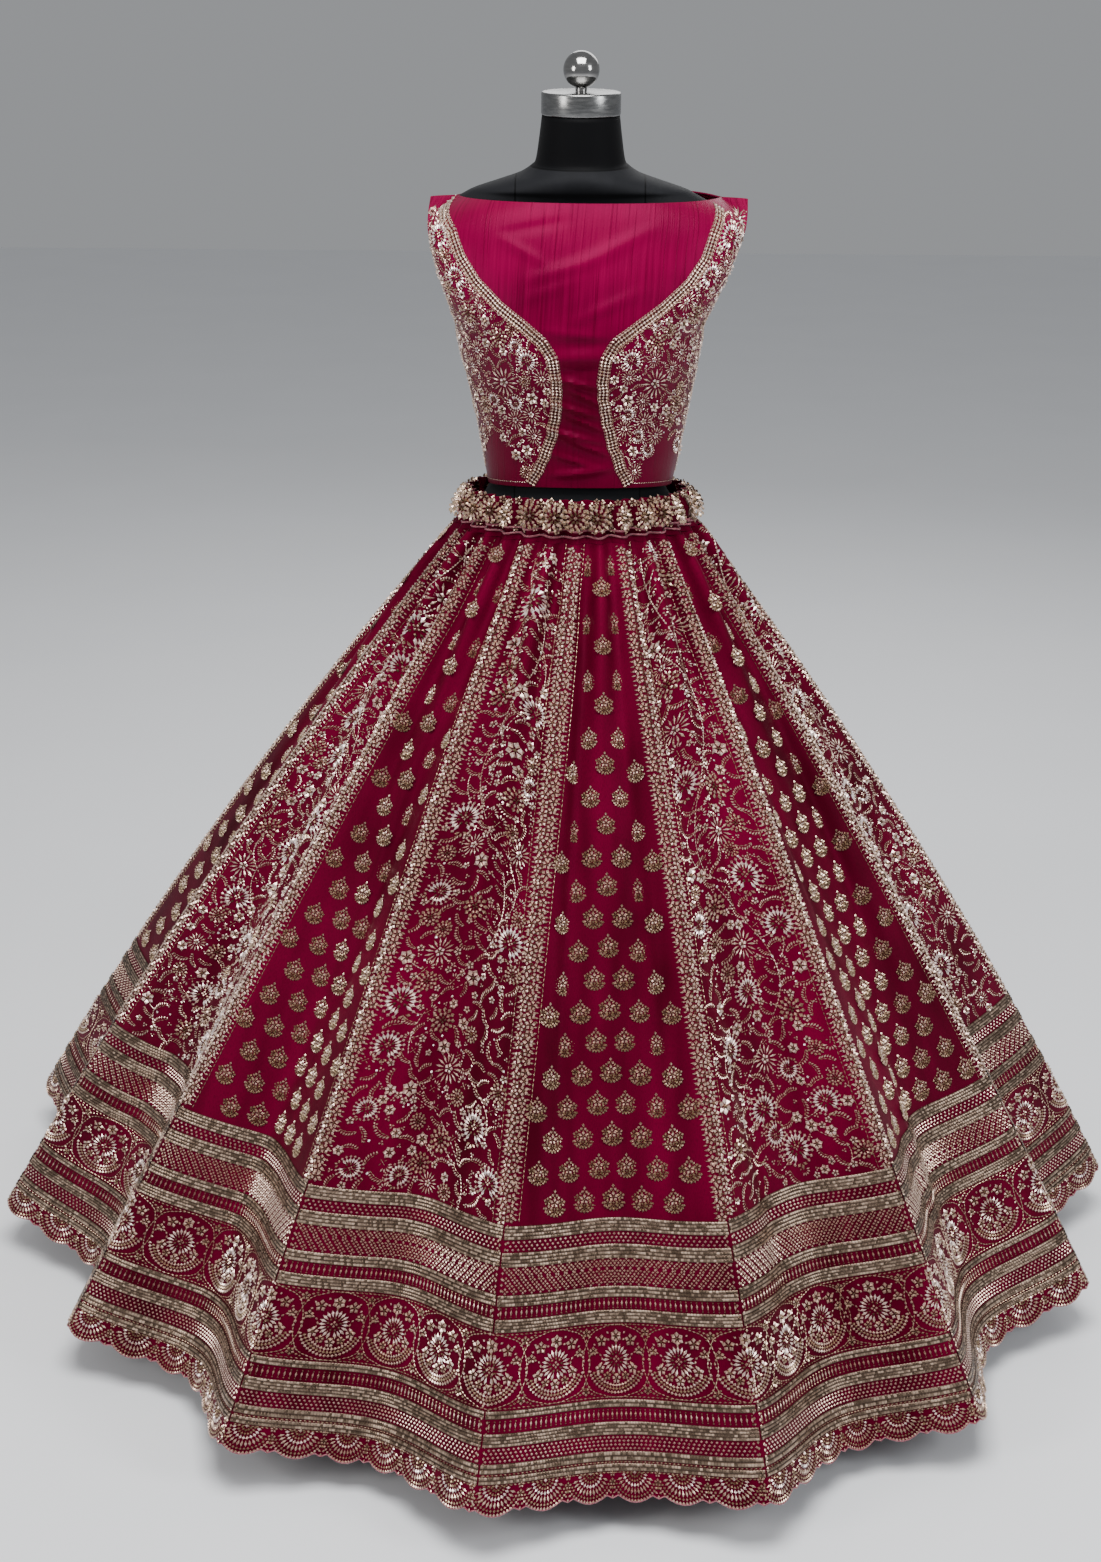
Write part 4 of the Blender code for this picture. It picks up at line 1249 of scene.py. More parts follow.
# The skirt's cloth
def build_kalis():
    """Fourteen thin shells with scalloped hems, on a map of metres."""
    made, edges = [], []
    for index in range(PANELS):
        outer = skirt.points[index].copy()
        normals = skirt.normals[index]
        fall = outer[-1] - outer[-2]
        fall /= np.linalg.norm(fall, axis=1, keepdims=True)
        depth = np.array([SCALLOP[i % len(SCALLOP)] for i in range(HEM_POINTS + 1)])
        outer[-1] += fall * (SCALLOP_DEPTH * depth)[:, None]
        edges.append(outer[-1])
        inner = outer - normals * WALL
        width = skirt.widths[index][:, None]
        across = np.linspace(-0.5, 0.5, HEM_POINTS + 1)[None] * width
        up = skirt.lengths[index][None] * (1 - skirt.down_shares[index][:, None])
        uv = np.stack((across + index * 0.5, up), -1)
        panel = shell(f"kali_{index + 1:02d}", outer, inner, shot_silk, uv)
        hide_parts(f"skirt_panel_{index + 1:02d}")
        made.append(panel)
    return made, edges


def build_casing():
    count = PANELS * GATHERS_PER_PANEL * 12
    q = PANELS * np.arange(count) / count
    shares = np.concatenate((np.linspace(1.0, 0.0, 12), np.linspace(-0.05, -0.30, 5)))
    outer = np.stack([casing_points(q, np.full_like(q, s)) for s in shares])
    inward = outer * np.array((1, 1, 0.0))
    inward /= np.linalg.norm(inward, axis=2, keepdims=True)
    inner = outer - inward * WALL
    step = np.linalg.norm(np.diff(np.concatenate((outer[:1], outer[:1, :1]), 1), axis=1), axis=2)
    along = np.concatenate(([0.0], np.cumsum(step[0])))[:count]
    uv = np.stack(np.broadcast_arrays(along[None], (shares * (RIM_Z - CORD_Z))[:, None]), -1)
    return shell("waist_casing", outer, inner, shot_silk, uv, wrap=True)


def ring_path_tube(name, path, radius, finish, sides=6):
    """A closed tube along a ring of points round the waist or the hem."""
    path = np.asarray(path)
    ahead = np.roll(path, -1, 0) - np.roll(path, 1, 0)
    ahead /= np.linalg.norm(ahead, axis=1, keepdims=True)
    outward = path * np.array((1, 1, 0.0))
    outward -= ahead * (outward * ahead).sum(1, keepdims=True)
    outward /= np.linalg.norm(outward, axis=1, keepdims=True)
    upward = np.cross(ahead, outward)
    turns = 2 * math.pi * np.arange(sides) / sides
    rings = path[None] + radius * (
        np.cos(turns)[:, None, None] * outward[None] + np.sin(turns)[:, None, None] * upward[None])
    count = len(path)
    quads = grid_faces(sides + 1, count, wrap=True) % (sides * count)
    return mesh_object(name, rings.reshape(-1, 3), [quads[:, ::-1]], finish)


def build_cords():
    """Two thin satin cords over the drawcord's casing."""
    made = []
    count = PANELS * GATHERS_PER_PANEL * 10
    q = PANELS * np.arange(count) / count
    for name, along in (("satin_cord_upper", 1.15), ("satin_cord_lower", -1.15)):
        share = PIPING_SHARE + along * CORD_RADIUS / (RIM_Z - CORD_Z)
        path = casing_points(q, np.full_like(q, share))
        outward = path * np.array((1, 1, 0.0))
        outward /= np.linalg.norm(outward, axis=1, keepdims=True)
        path = path + outward * CORD_RADIUS * 0.7
        path[:, 2] += CORD_WAVE * np.sin(q * 9.0 + along)
        made.append(ring_path_tube(name, path, SATIN_CORD_RADIUS, satin))
    return made


def build_hem_piping():
    """Thin satin edging along every scallop of the hem."""
    path = np.concatenate([edge[:-1] for edge in kali_edges])
    return ring_path_tube("hem_piping", path, HEM_PIPING_RADIUS, satin, 5)


# The skirt's embroidery
def top_of(q):
    """The cloth's length from hem to casing at q."""
    q = np.asarray(q, float) % PANELS
    panel = np.floor(q).astype(int)
    column = np.round((q - panel) * HEM_POINTS).astype(int)
    return skirt.lengths[panel, column]


def field_room(width):
    """Half the width of a kali's field between its seam trims."""
    return width / 2 - TRIM_REACH * min(1.0, width / TRIM_FULL_WIDTH) + TRIM_OVERLAP


def build_seam_trims():
    """Two columns of small flowers over each seam, side beads, a dark middle and thin edge lines."""
    seats = []
    luck = np.random.default_rng(5)
    flower, side_bead, edge_line, dark_bead, bright_bead = range(5)
    # Kind, reach from the seam and pitch. All of them start above the border
    rows = (
        (flower, 0.0056, 0.0112), (side_bead, 0.0116, 0.0060), (edge_line, 0.0160, 0.0062),
        (dark_bead, 0.0010, 0.0046), (bright_bead, 0.0085, 0.0112),
    )
    for kind, reach, pitch in rows:
        for seam in range(PANELS):
            length = float(top_of(seam + 0.01)) - 0.006
            for side in (-1, 1):
                if kind == edge_line and (seam + side) % 3 == 0:
                    continue
                start = BORDER_TOP + TRIM_START + (0.5 * pitch if side > 0 else 0.0)
                up = np.arange(start, length, pitch)
                up = up + luck.uniform(-0.10, 0.10, len(up)) * pitch
                q = np.full(len(up), seam + BESIDE_SEAM * side)
                width = skirt.width(q, up)
                squeeze = np.clip(width / TRIM_FULL_WIDTH, TRIM_LEAST, 1.0)
                q = seam + side * reach * squeeze / width
                point, normal, rising = seats_on_skirt(q, up)
                across = np.cross(rising, normal)
                most = 0.5 if kind == flower else 0.15
                turn = luck.uniform(-most, most, len(up))
                rising = rising * np.cos(turn)[:, None] + across * np.sin(turn)[:, None]
                size = np.clip(squeeze, 0.78, 1.0) * luck.uniform(0.9, 1.1, len(up))
                seats.append((kind, point + normal * SEAT_LIFT, normal, rising, size))
    kinds = (
        single_flower(0.0062, 0.76), single(0.0054, 0.0022, 0, 0.66),
        single(0.0058, 0.0013, math.pi / 2, 0.46), single(0.0044, 0.0018, math.pi / 2, 0.20),
        single(0.0026, 0.0024, 0, 0.88),
    )
    return lay_with_nodes("seam_trims", kinds, seats, gold_beads)


def build_buttis():
    """Staggered posies on every second kali."""
    q, up = [], []
    for panel in range(1, PANELS, 2):
        low = BORDER_TOP + 0.021
        high = float(top_of(panel + 0.5)) - 0.020
        for row, height in enumerate(np.linspace(low, high, 1 + round((high - low) / BUTTI_RISE))):
            width = float(skirt.width(np.array([panel + 0.5]), np.array([height]))[0])
            room = field_room(width)
            pitch = min(BUTTI_PITCH, max(0.022, 2 * (room - 0.007)))
            for k in range(-6, 7):
                x = (k + 0.5 * (row % 2)) * pitch
                if abs(x) < room - 0.005:
                    q.append(panel + 0.5 + x / width)
                    up.append(height)
    q, up = np.array(q), np.array(up)
    point, normal, rising = seats_on_skirt(q, up)
    luck = np.random.default_rng(8)
    sizes = np.interp(up, (0.32, 1.10), (0.94, 0.82)) * luck.uniform(0.95, 1.05, len(up))
    seats = [(0, point + normal * MOTIF_LIFT, normal, rising, sizes)]
    return lay_with_nodes("buttis", (butti(),), seats, gold_beads)


def build_jaal():
    """Flowering trails and their fill on the other kalis, as a piece of flowers and one of leaves."""
    rows = {name: [] for name in SPRIGS}
    for panel in range(0, PANELS, 2):
        heights = np.linspace(0, KALI_TALLEST, 60)
        widths = skirt.width(np.full(60, panel + 0.5), heights)

        def edges(up):
            width = float(np.interp(up, heights, widths))
            room = field_room(width)
            return -room, room

        field = Vines(BORDER_TOP + 0.003, float(top_of(panel + 0.5)) - 0.004, edges, 100 + panel)
        phase = panel * 0.9
        field.trail(phase, 0.55, 0.34, ("bloom", "rosette", "bloom", "daisy", "burst"), 0.036, 1.30)
        field.trail(phase + 2.6, 0.78, 0.27, ("rosette", "daisy", "bloom", "daisy"), 0.030, 1.20)
        for kind, tries in (("bloom", 30), ("rosette", 60), ("burst", 20), ("daisy", 90), ("leaf", 2400),
                            ("spray", 1100), ("floret", 1300), ("trefoil", 1800), ("sequin", 400)):
            field.fill(kind, tries)
        for kind, places in field.rows.items():
            for x, up, turn, size in places:
                width = float(np.interp(up, heights, widths))
                rows[kind].append((panel + 0.5 + x / width, up, turn, size))
    heads = ("bloom", "burst", "rosette", "daisy")
    pieces = []
    for name, kinds in (("jaal_flowers", heads), ("jaal_leaves", [k for k in SPRIGS if k not in heads])):
        placements = [(SPRIGS[kind][0], *np.array(rows[kind]).T) for kind in kinds if rows[kind]]
        pieces.append(bead_piece(name, placements, read_skirt))
    return pieces


def row_places(up, pitch, offset=0.0, margin=0.003):
    """Places along a row round the whole skirt, evenly spaced in each kali."""
    out = []
    for panel in range(PANELS):
        width = float(skirt.width(np.array([panel + 0.5]), np.array([up]))[0])
        count = max(1, round((width - 2 * margin) / pitch))
        share = (np.arange(count) + 0.5 + offset) / count
        share = share[share < 1.0]
        out.append(panel + (margin + share * (width - 2 * margin)) / width)
    return np.concatenate(out)


def build_border_rows():
    """The border's rows of pearls, lattice, cut beads and dashes, and dots down its seams."""
    seats = []

    def seat(kind, q, up, size):
        point, normal, rising = seats_on_skirt(q, up)
        seats.append((kind, point + normal * SEAT_LIFT, normal, rising, np.full(len(q), size)))

    def row(kind, up, pitch, offset=0.0, size=1.0):
        q = row_places(up, pitch, offset)
        seat(kind, q, np.full(len(q), up), size)

    pearl, lattice, flower, dash, seam_dot = range(5)
    row(pearl, 0.2150, 0.0060)
    row(pearl, 0.0900, 0.0060)
    for i, up in enumerate((0.2392, 0.2454, 0.2516, 0.2578, 0.2632)):
        row(lattice, up, 0.0104, 0.5 * (i % 2), 1.12)
    for up, offset in ((0.2858, 0.0), (0.2900, 0.5), (0.2942, 0.0)):
        row(flower, up, 0.0062, offset, 0.95)
    for up, offset in ((0.0518, 0.0), (0.0560, 0.5), (0.0602, 0.0), (0.0642, 0.5)):
        row(flower, up, 0.0056, offset, 0.95)
    for up, offset in ((0.0366, 0.0), (0.0252, 0.5)):
        row(dash, up, 0.0050, offset)
    for up in (0.1092, 0.1908):
        row(dash, up, 0.0054)
    for seam in range(PANELS):
        for side in (-1, 1):
            up = np.arange(0.006 + 0.003 * (side > 0), BORDER_TOP, 0.0066)
            q = seam + side * 0.0036 / skirt.width(np.full(len(up), seam + BESIDE_SEAM * side), up)
            seat(seam_dot, q, up, 1.0)
    kinds = (
        pearl_column(), four_dots(), single(0.0038, 0.0034, 0, 0.74), single(0.0044, 0.0018, 0, 0.50),
        single(0.0040, 0.0032, math.pi / 2, 0.60),
    )
    return lay_with_nodes("border_rows", kinds, seats, gold_beads)


def build_gold_bands():
    """Raised lines of bugle beads between the border's patterns, on a map of metres and lines."""
    points, faces, uvs = [], [], []
    first = 0
    steps = 24
    for low, high, lines in GOLD_BANDS:
        profile = [
            (low + (high - low) * (line + part) / lines, rise, line + part)
            for line in range(lines) for part, rise in ((0.02, 0.0003), (0.5, 0.0019), (0.98, 0.0003))
        ]
        for panel in range(PANELS):
            width = float(skirt.width(np.array([panel + 0.5]), np.array([low]))[0])
            margin = 0.0007 / width
            q = panel + np.linspace(margin, 1 - margin, steps + 1)
            grid, mapping = [], []
            for up, rise, line in reversed(profile):
                place, normal = skirt.read(q, np.full(len(q), up))
                grid.append(place + normal * (0.0003 + rise))
                mapping.append(np.stack((q * width, np.full(len(q), line)), -1))
            points.append(np.array(grid).reshape(-1, 3))
            uvs.append(np.array(mapping).reshape(-1, 2))
            faces.append(grid_faces(len(profile), steps + 1, first=first))
            first += len(profile) * (steps + 1)
    return mesh_object("gold_bands", np.concatenate(points), [np.concatenate(faces)], gold_rows,
                       uv=np.concatenate(uvs))


def build_medallions():
    """Four medallions to a kali, one of them over its seam, with lined fields and posies between."""
    q = np.arange(4 * PANELS) / 4
    between = q + 0.125
    one = np.ones(len(q))
    placements = [
        (medallion(), q, one * MEDALLION_UP, one * 0, one * 0.98),
        (field_edge(), q, one * MEDALLION_UP, one * 0, one),
        (field_posy(), between, one * (MEDALLION_UP + POSY_AWAY), one * 0, one * 0.95),
        (field_posy(), between, one * (MEDALLION_UP - POSY_AWAY), one * math.pi, one * 0.95),
    ]
    return bead_piece("medallions", placements, read_skirt)


def build_hem_fans():
    """A fan of beads in every scallop of the hem, and a small posy over every notch."""
    scallops = HEM_POINTS // len(SCALLOP)
    middle = 3 / len(SCALLOP)
    q = np.array([panel + (i + middle) / scallops for panel in range(PANELS) for i in range(scallops)])
    notch = q + 0.5 / scallops - 1e-4
    one = np.ones(len(q))
    full_width = 0.327
    size = skirt.width(q, one * 0.004) / full_width
    placements = [
        (fan(), q, one * 0, one * 0, size * 0.98),
        (notch_posy(), notch, one * 0, one * 0, one * 1.1),
    ]
    return bead_piece("hem_fans", placements, read_skirt)


def build_header_flowers():
    """Heaped flowers along the header, with small ones above and below."""
    seats = []
    count = PANELS * GATHERS_PER_PANEL
    heaped, small = range(2)
    luck = np.random.default_rng(21)
    for kind, shift, share, size in (
        (heaped, 0.0, 0.54, 1.22), (heaped, 0.5, 0.50, 1.00), (small, 0.25, 0.90, 1.15),
        (small, 0.75, 0.88, 1.10), (small, 0.25, 0.14, 1.05), (small, 0.75, 0.16, 1.00),
        (small, 0.0, 0.96, 0.80),
    ):
        q = PANELS * (np.arange(count) + shift + luck.uniform(-0.08, 0.08, count)) / count % PANELS
        shares = share + luck.uniform(-0.06, 0.06, count)
        point = casing_points(q, shares)
        ahead = casing_points((q + 0.01) % PANELS, shares) - point
        above = casing_points(q, shares + 0.05) - point
        normal = np.cross(ahead, above)
        normal /= np.linalg.norm(normal, axis=1, keepdims=True)
        rising = above / np.linalg.norm(above, axis=1, keepdims=True)
        sizes = size * luck.uniform(0.86, 1.1, count)
        seats.append((kind, point + normal * HEADER_LIFT, normal, rising, sizes))
    kinds = (header_flower(), single_flower(0.0054, 0.62))
    return lay_with_nodes("header_flowers", kinds, seats, gold_beads)


# The choli
def folds(table, x, z):
    lift = np.zeros_like(x)
    for fold_z, fold_x, reach, depth, slope, width in table:
        along = np.clip(np.abs((x - fold_x) / reach), 0, 1)
        up = (z - fold_z - slope * (x - fold_x)) / width
        lift += depth * (1 - along * along) ** 2 * np.exp(-up * up)
    return lift


def smooth_rows(table, count):
    """A table's rows joined by a smooth curve and read at even steps, the last row first."""
    places = np.linspace(len(table) - 1, 0, count)
    padded = np.concatenate((2 * table[:1] - table[1:2], table, 2 * table[-1:] - table[-2:-1]))
    low = np.clip(places.astype(int), 0, len(table) - 2)
    t = (places - low)[:, None]
    a, b, c, d = (padded[low + i] for i in range(4))
    square = (2 * a - 5 * b + 4 * c - d) * t * t
    cube = (3 * b - a - 3 * c + d) * t ** 3
    return 0.5 * (2 * b + (c - a) * t + square + cube)


def bodice_grid(side):
    """The choli's front or back as a grid, top row first, columns to the viewer's right."""
    down, across = (113, 91) if side < 0 else (57, 61)
    rows = smooth_rows(BODICE, down)
    s = np.linspace(-1, 1, across) * -side
    z_side, z_centre, left, right, front, back, armhole, flat, power = (rows[:, i:i + 1] for i in range(9))
    turn = math.pi / 2 * s[None]
    x = (right - left) / 2 + (right + left) / 2 * np.sin(turn)
    facing = np.abs(np.cos(turn))
    z = z_side + (z_centre - z_side) * facing
    flat = np.maximum(flat, 0.0)
    rounded = (np.maximum(0.0, facing - flat) / (1 - flat)) ** power
    edge = np.maximum(armhole, SEAM_GAP / 2)
    depth = front if side < 0 else back
    reach = edge + (depth - edge) * rounded
    if side < 0:
        reach = reach + (BODICE_BUST_SHARE * bust(x, z) + folds(FRONT_FOLDS, x, z)) * rounded
    else:
        reach = reach + folds(BACK_FOLDS, x, z) * rounded
    return np.stack((x, side * reach, z), -1)


def lengths_across(grid):
    """Each point's length along its row from the row's middle."""
    steps = np.linalg.norm(np.diff(grid, axis=1), axis=2)
    along = np.concatenate((np.zeros((len(grid), 1)), np.cumsum(steps, axis=1)), axis=1)
    middle = grid.shape[1] // 2
    return along - along[:, middle:middle + 1]


def build_bodice_side(name, side, node):
    outer = bodice_grid(side)
    normals = grid_normals(outer)
    normals[:, 0] = normals[:, 1]
    normals[:, -1] = normals[:, -2]
    inner = outer - normals * WALL
    inner[:, 0, 1] = np.where(np.abs(outer[:, 0, 1]) < 0.001, outer[:, 0, 1], inner[:, 0, 1])
    inner[:, -1, 1] = np.where(np.abs(outer[:, -1, 1]) < 0.001, outer[:, -1, 1], inner[:, -1, 1])
    uv = np.stack((lengths_across(outer), outer[..., 2]), -1)
    made = shell(name, outer, inner, raw_silk, uv)
    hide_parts(node)
    return made


class Front:
    """The choli's front as a grid, read by length from its middle and by height."""

    def __init__(self):
        self.points = bodice_grid(-1)
        self.normals = grid_normals(self.points)
        self.normals[:, 0], self.normals[:, -1] = self.normals[:, 1], self.normals[:, -2]
        self.along = lengths_across(self.points)
        self.heights = self.points[:, self.points.shape[1] // 2, 2]

    def blend(self, grids, table, value, z):
        """Grids read where a table's value is met in the row at height z."""
        rows = np.interp(-z, -self.heights, np.arange(len(self.heights)))
        low = np.clip(rows.astype(int), 0, len(self.heights) - 2)
        down = (rows - low)[:, None]
        here = table[low] * (1 - down) + table[low + 1] * down
        column = np.clip((here <= value[:, None]).sum(1) - 1, 0, here.shape[1] - 2)
        each = np.arange(len(value))
        across = ((value - here[each, column]) / (here[each, column + 1] - here[each, column]))[:, None]
        out = []
        for grid in grids:
            upper = grid[low, column] * (1 - across) + grid[low, column + 1] * across
            lower = grid[low + 1, column] * (1 - across) + grid[low + 1, column + 1] * across
            out.append(upper * (1 - down) + lower * down)
        return out

    def read(self, along, z):
        points, normals = self.blend((self.points, self.normals), self.along, along, z)
        return points, normals / np.linalg.norm(normals, axis=1, keepdims=True)

    def length_at(self, x, z):
        """The length from the middle at x."""
        x, z = np.atleast_1d(x).astype(float), np.atleast_1d(z).astype(float)
        return self.blend((self.along[..., None],), self.points[..., 0], x, z)[0][:, 0]


def read_front(along, z, a, b):
    return front.read((along + a).ravel(), (z + b).ravel())


def border_line(side_column, spacing, offset):
    """Points along a beaded border, moved sideways by offset, with their direction."""
    z = BORDER[:, 0]
    x = front.length_at(BORDER[:, side_column], z)
    length = np.concatenate(([0.0], np.cumsum(np.hypot(np.diff(z), np.diff(x)))))
    at = np.arange(spacing / 2, length[-1], spacing)
    px, pz = np.interp(at, length, x), np.interp(at, length, z)
    dx = np.interp(at + 0.004, length, x) - np.interp(at - 0.004, length, x)
    dz = np.interp(at + 0.004, length, z) - np.interp(at - 0.004, length, z)
    size = np.hypot(dx, dz)
    dx, dz = dx / size, dz / size
    return px + dz * offset, pz - dx * offset, np.arctan2(dz, dx)


def build_choli_borders():
    """Rows of beads along each border: three wide and pale, with thin dark gold between and outside."""
    rows = (
        (-0.0044, 0.0042, 0.0040, 0.78), (0.0, 0.0042, 0.0040, 0.84), (0.0044, 0.0042, 0.0040, 0.78),
        (-0.0022, 0.0036, 0.0014, 0.30), (0.0022, 0.0036, 0.0014, 0.30),
        (-0.0068, 0.0040, 0.0016, 0.72), (0.0068, 0.0040, 0.0016, 0.72),
    )
    made = []
    sides = (("border_beads_left", 1, "choli_border_left"), ("border_beads_right", 2, "choli_border_right"))
    for name, column, node in sides:
        placements = []
        for offset, pitch, width, tint in rows:
            x, z, turn = border_line(column, pitch, offset)
            bead = single(pitch * 1.12, width, 0, tint, rise=0.0012 + 0.3 * width)
            placements.append((bead, x, z, turn, np.ones(len(x))))
        piece = bead_piece(name, placements, read_front)
        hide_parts(node)
        made.append(piece)
    return made


# Main flowers of the choli's two embroidered sides: kind, x and z on the left, on the right, size
CHOLI_FLOWERS = (
    ("bloom", -0.1690, 1.3780, 0.1810, 1.3800, 1.10),
    ("rosette", -0.0960, 1.2640, 0.0930, 1.2600, 1.15),
    ("burst", -0.0900, 1.2080, 0.0930, 1.2080, 1.45),
    ("bloom", -0.0620, 1.2380, 0.0640, 1.2400, 0.90),
    ("rosette", -0.1330, 1.2900, 0.1400, 1.2900, 1.10),
    ("bloom", -0.1480, 1.3320, 0.1570, 1.3360, 1.00),
    ("burst", -0.1220, 1.2440, 0.1240, 1.2440, 1.00),
    ("daisy", -0.0560, 1.1900, 0.0600, 1.1880, 1.15),
    ("burst", -0.0760, 1.1600, 0.0800, 1.1600, 0.95),
    ("rosette", -0.1140, 1.1740, 0.1200, 1.1780, 1.00),
    ("daisy", -0.0620, 1.1220, 0.0680, 1.1220, 1.05),
)


def build_choli_embroidery():
    """Flowers, trails and fill from each border to the side seam or armhole, and a stitched hem line."""
    rows = {name: [] for name in SPRIGS}
    for side in (-1, 1):
        border_column = 1 if side < 0 else 2
        heights = np.linspace(CHOLI_FOOT, BORDER[-1, 0], 80)
        inner = side * front.length_at(np.interp(heights, BORDER[:, 0], BORDER[:, border_column]), heights)
        inner = inner + BORDER_WIDTH / 2 + 0.001
        outer = side * np.interp(-heights, -front.heights, front.along[:, 0 if side < 0 else -1]) - 0.001

        def edges(z):
            low, high = float(np.interp(z, heights, inner)), float(np.interp(z, heights, outer))
            return (low, high) if side > 0 else (-high, -low)

        field = Vines(*CHOLI_FIELD, edges, 40 + side, CHOLI_HOLLOW)
        for kind, left_x, left_z, right_x, right_z, size in CHOLI_FLOWERS:
            x, z = (left_x, left_z) if side < 0 else (right_x, right_z)
            field.put(kind, float(front.length_at(x, z)[0]), z, 0.3 * side, size)
        field.trail(0.6 * side, 0.35, 0.12, ("daisy", "burst", "daisy"), 0.022)
        for kind, tries, scale in (
            ("burst", 200, 0.85), ("bloom", 200, 0.7), ("rosette", 200, 0.8), ("daisy", 300, 0.8),
            ("leaf", 1800, 0.85), ("spray", 1800, 0.8), ("leaf", 1800, 0.62), ("spray", 1500, 0.6),
            ("floret", 2500, 0.75), ("trefoil", 3500, 0.85), ("sequin", 1500, 0.8),
        ):
            field.fill(kind, tries, scale)
        for kind, places in field.rows.items():
            rows[kind].extend(places)
        stitches = np.arange(inner[0], outer[0] - 0.004, 0.0034)
        rows["stem"].extend((side * x, front.heights[-1] + 0.0055, 0.0, 0.75) for x in stitches)
    placements = [(SPRIGS[kind][0], *np.array(values).T) for kind, values in rows.items() if values]
    return bead_piece("choli_embroidery", placements, read_front)


# The form and its stand
def ringed(name, grid, finish):
    """A solid from level rings of points, top first, closed at both ends."""
    rings, sides = grid.shape[:2]
    n = rings * sides
    ends = [(0, 0, grid[0, 0, 2]), (0, 0, grid[-1, 0, 2])]
    points = np.concatenate((grid.reshape(-1, 3), ends))
    ring = np.arange(sides)
    ahead = (ring + 1) % sides
    last = n - sides
    cap = np.stack((np.full(sides, n), ring, ahead), -1)
    foot = np.stack((np.full(sides, n + 1), last + ahead, last + ring), -1)
    return mesh_object(name, points, [grid_faces(rings, sides, wrap=True), cap, foot], finish)


def turned(name, profile, finish, sides, sharp_deg):
    """A round solid from radius and height pairs, top first."""
    angles = 2 * math.pi * np.arange(sides) / sides
    across, ahead = np.sin(angles), -np.cos(angles)
    grid = np.stack([np.stack((r * across, r * ahead, np.full(sides, z)), -1) for r, z in profile])
    made = ringed(name, grid, finish)
    made.data.set_sharp_from_angle(angle=math.radians(sharp_deg))
    return made


def build_form():
    """The torso from its smoothed sections, and its cap and ball as large as their solids."""
    angle = 2 * math.pi * np.arange(FORM_SIDES) / FORM_SIDES
    facing = np.cos(angle)
    grid = []
    for z, half, front_depth, back_depth in smooth_rows(FORM, FORM_RINGS):
        x = half * np.sin(angle)
        depth = np.where(facing > 0, front_depth + bust(x, z) * facing, back_depth)
        grid.append(np.stack((x, -depth * facing, np.full(FORM_SIDES, z)), -1))
    torso = ringed("torso_cover", np.array(grid), jersey)
    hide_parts("form_torso")

    cap_low, cap_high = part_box("form_neck_cap")
    r = cap_high.x
    edge = [
        (r - 0.0040, cap_high.z), (r - 0.0016, cap_high.z - 0.0002),
        (r - 0.0004, cap_high.z - 0.0009), (r, cap_high.z - 0.0022),
    ]
    lower = [(r, cap_low.z + 0.0022), (r - 0.0004, cap_low.z + 0.0009), (r - 0.0016, cap_low.z)]
    neck = turned("chrome_cap", edge + lower, brushed, 96, 70.0)
    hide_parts("form_neck_cap")

    ball_low, ball_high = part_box("form_ball")
    radius = ball_high.x
    middle = ball_high.z - radius
    turns = np.linspace(math.pi / 2 - 0.04, -1.245, 36)
    profile = [(radius * math.cos(a), middle + radius * math.sin(a)) for a in turns]
    profile.append((0.007, ball_low.z))
    ball = turned("steel_ball", profile, chrome, 64, 60.0)
    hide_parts("form_ball")
    return [torso, neck, ball]


kalis, kali_edges = build_kalis()
casing = build_casing()
cords = build_cords()
hem_piping = build_hem_piping()
trims = build_seam_trims()
buttis = build_buttis()
jaal = build_jaal()
border_rows = build_border_rows()
gold_bands = build_gold_bands()
medallions = build_medallions()
hem_fans = build_hem_fans()
header = build_header_flowers()
choli_front = build_bodice_side("choli_front_cloth", -1, "choli_front")
choli_back = build_bodice_side("choli_back_cloth", 1, "choli_back")
front = Front()
choli_borders = build_choli_borders()
choli_work = build_choli_embroidery()
form_parts = build_form()

for node, finish in (("form_pole", chrome), ("form_base", black_base)):
    materials = frame["nodes"][node].data.materials
    materials.clear()
    materials.append(finish)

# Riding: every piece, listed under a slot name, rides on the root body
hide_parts("skirt_waist_casing")
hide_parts("skirt_waist_piping")
bead_pieces = [
    trims, buttis, *jaal, border_rows, gold_bands, medallions, hem_fans, header, choli_work, *choli_borders,
]
slots = (
    ("embroidered_silk", [*kalis, casing]),
    ("satin_piping", [*cords, hem_piping]),
    ("gold_beadwork", bead_pieces),
    ("raw_silk", [choli_front, choli_back]),
    ("black_jersey", form_parts[:1]),
    ("chrome", form_parts[1:]),
)
for slot, pieces in slots:
    for piece in pieces:
        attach(piece, "root")


# Ground, light and camera
LENS_MM = 54.39
SENSOR_MM = 36.0
CAMERA_PLACE = (-0.003, -2.933, 1.788)
CAMERA_TURN = (-0.55, 21.16, 0.39)  # yaw, pitch and roll in degrees
GROUND_REACH = 9
GROUND_Z = -0.0004


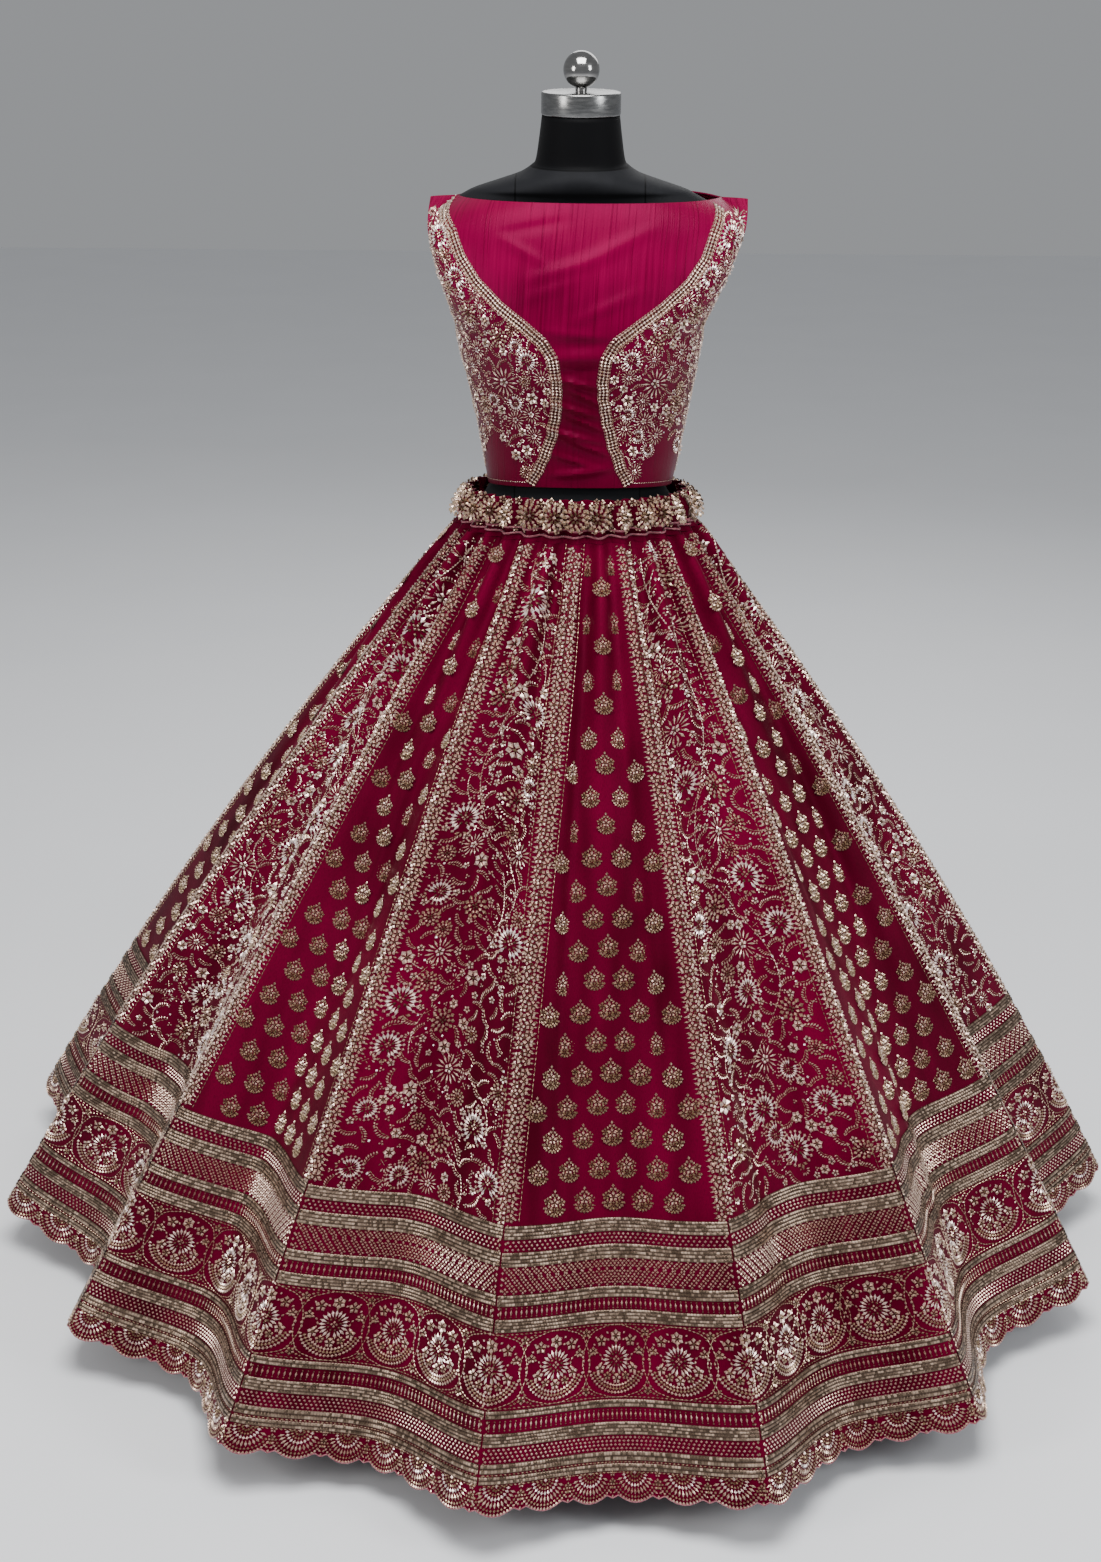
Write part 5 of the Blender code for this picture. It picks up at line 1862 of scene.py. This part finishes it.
def build_floor():
    made, shader, place, _ = new_finish("pale_floor", {"Roughness": 0.55, "Specular IOR Level": 0.25})
    feed(shader, Base_Color=place.noise(3.0, detail=2.0).between((0.83, 0.84, 0.86), (0.87, 0.88, 0.90)))
    signs = ((-1, -1), (1, -1), (1, 1), (-1, 1))
    corners = np.array([(GROUND_REACH * x, GROUND_REACH * y, GROUND_Z) for x, y in signs])
    plane = mesh_object("floor", corners, [np.array([[0, 1, 2, 3]])], made)


def build_light(name, place, aim, size, power, colour=(1, 1, 1)):
    data = bpy.data.lights.new(name, "AREA")
    data.shape = "RECTANGLE"
    data.size, data.size_y = size
    data.energy = power
    data.color = colour
    lamp = bpy.data.objects.new(name, data)
    lamp.location = place
    lamp.rotation_euler = (Vector(aim) - Vector(place)).to_track_quat("-Z", "Y").to_euler()
    bpy.context.scene.collection.objects.link(lamp)


build_floor()
build_light("ceiling", (0.0, -1.2, 3.6), (0, 0, 0.6), (2.0, 1.6), 150)
build_light("left_soft", (-2.8, -2.2, 2.0), (0, 0, 0.9), (0.9, 1.4), 46, (1.0, 0.98, 0.96))
build_light("right_soft", (2.8, -1.8, 2.2), (0, 0, 0.8), (0.9, 1.4), 46, (0.96, 0.98, 1.0))
build_light("back_soft", (0.6, 2.8, 2.6), (0, 0, 0.9), (2.4, 1.6), 30)
world = bpy.data.worlds.new("daylight")
world.use_nodes = True
background = world.node_tree.nodes["Background"]
background.inputs["Color"].default_value = (0.74, 0.76, 0.79, 1)
background.inputs["Strength"].default_value = 0.42
bpy.context.scene.world = world

camera_data = bpy.data.cameras.new("camera")
camera_data.lens = LENS_MM
camera_data.sensor_width = SENSOR_MM
camera = bpy.data.objects.new("camera", camera_data)
camera.location = CAMERA_PLACE
yaw, pitch, roll = (math.radians(v) for v in CAMERA_TURN)
ahead = Vector((math.sin(yaw) * math.cos(pitch), math.cos(yaw) * math.cos(pitch), -math.sin(pitch)))
level = Vector((math.cos(yaw), -math.sin(yaw), 0))
upright = level.cross(ahead)
right = level * math.cos(roll) + upright * math.sin(roll)
above = upright * math.cos(roll) - level * math.sin(roll)
turn = [[right[i], above[i], -ahead[i]] for i in range(3)]
camera.rotation_euler = Matrix(turn).to_euler()
bpy.context.scene.collection.objects.link(camera)
bpy.context.scene.camera = camera
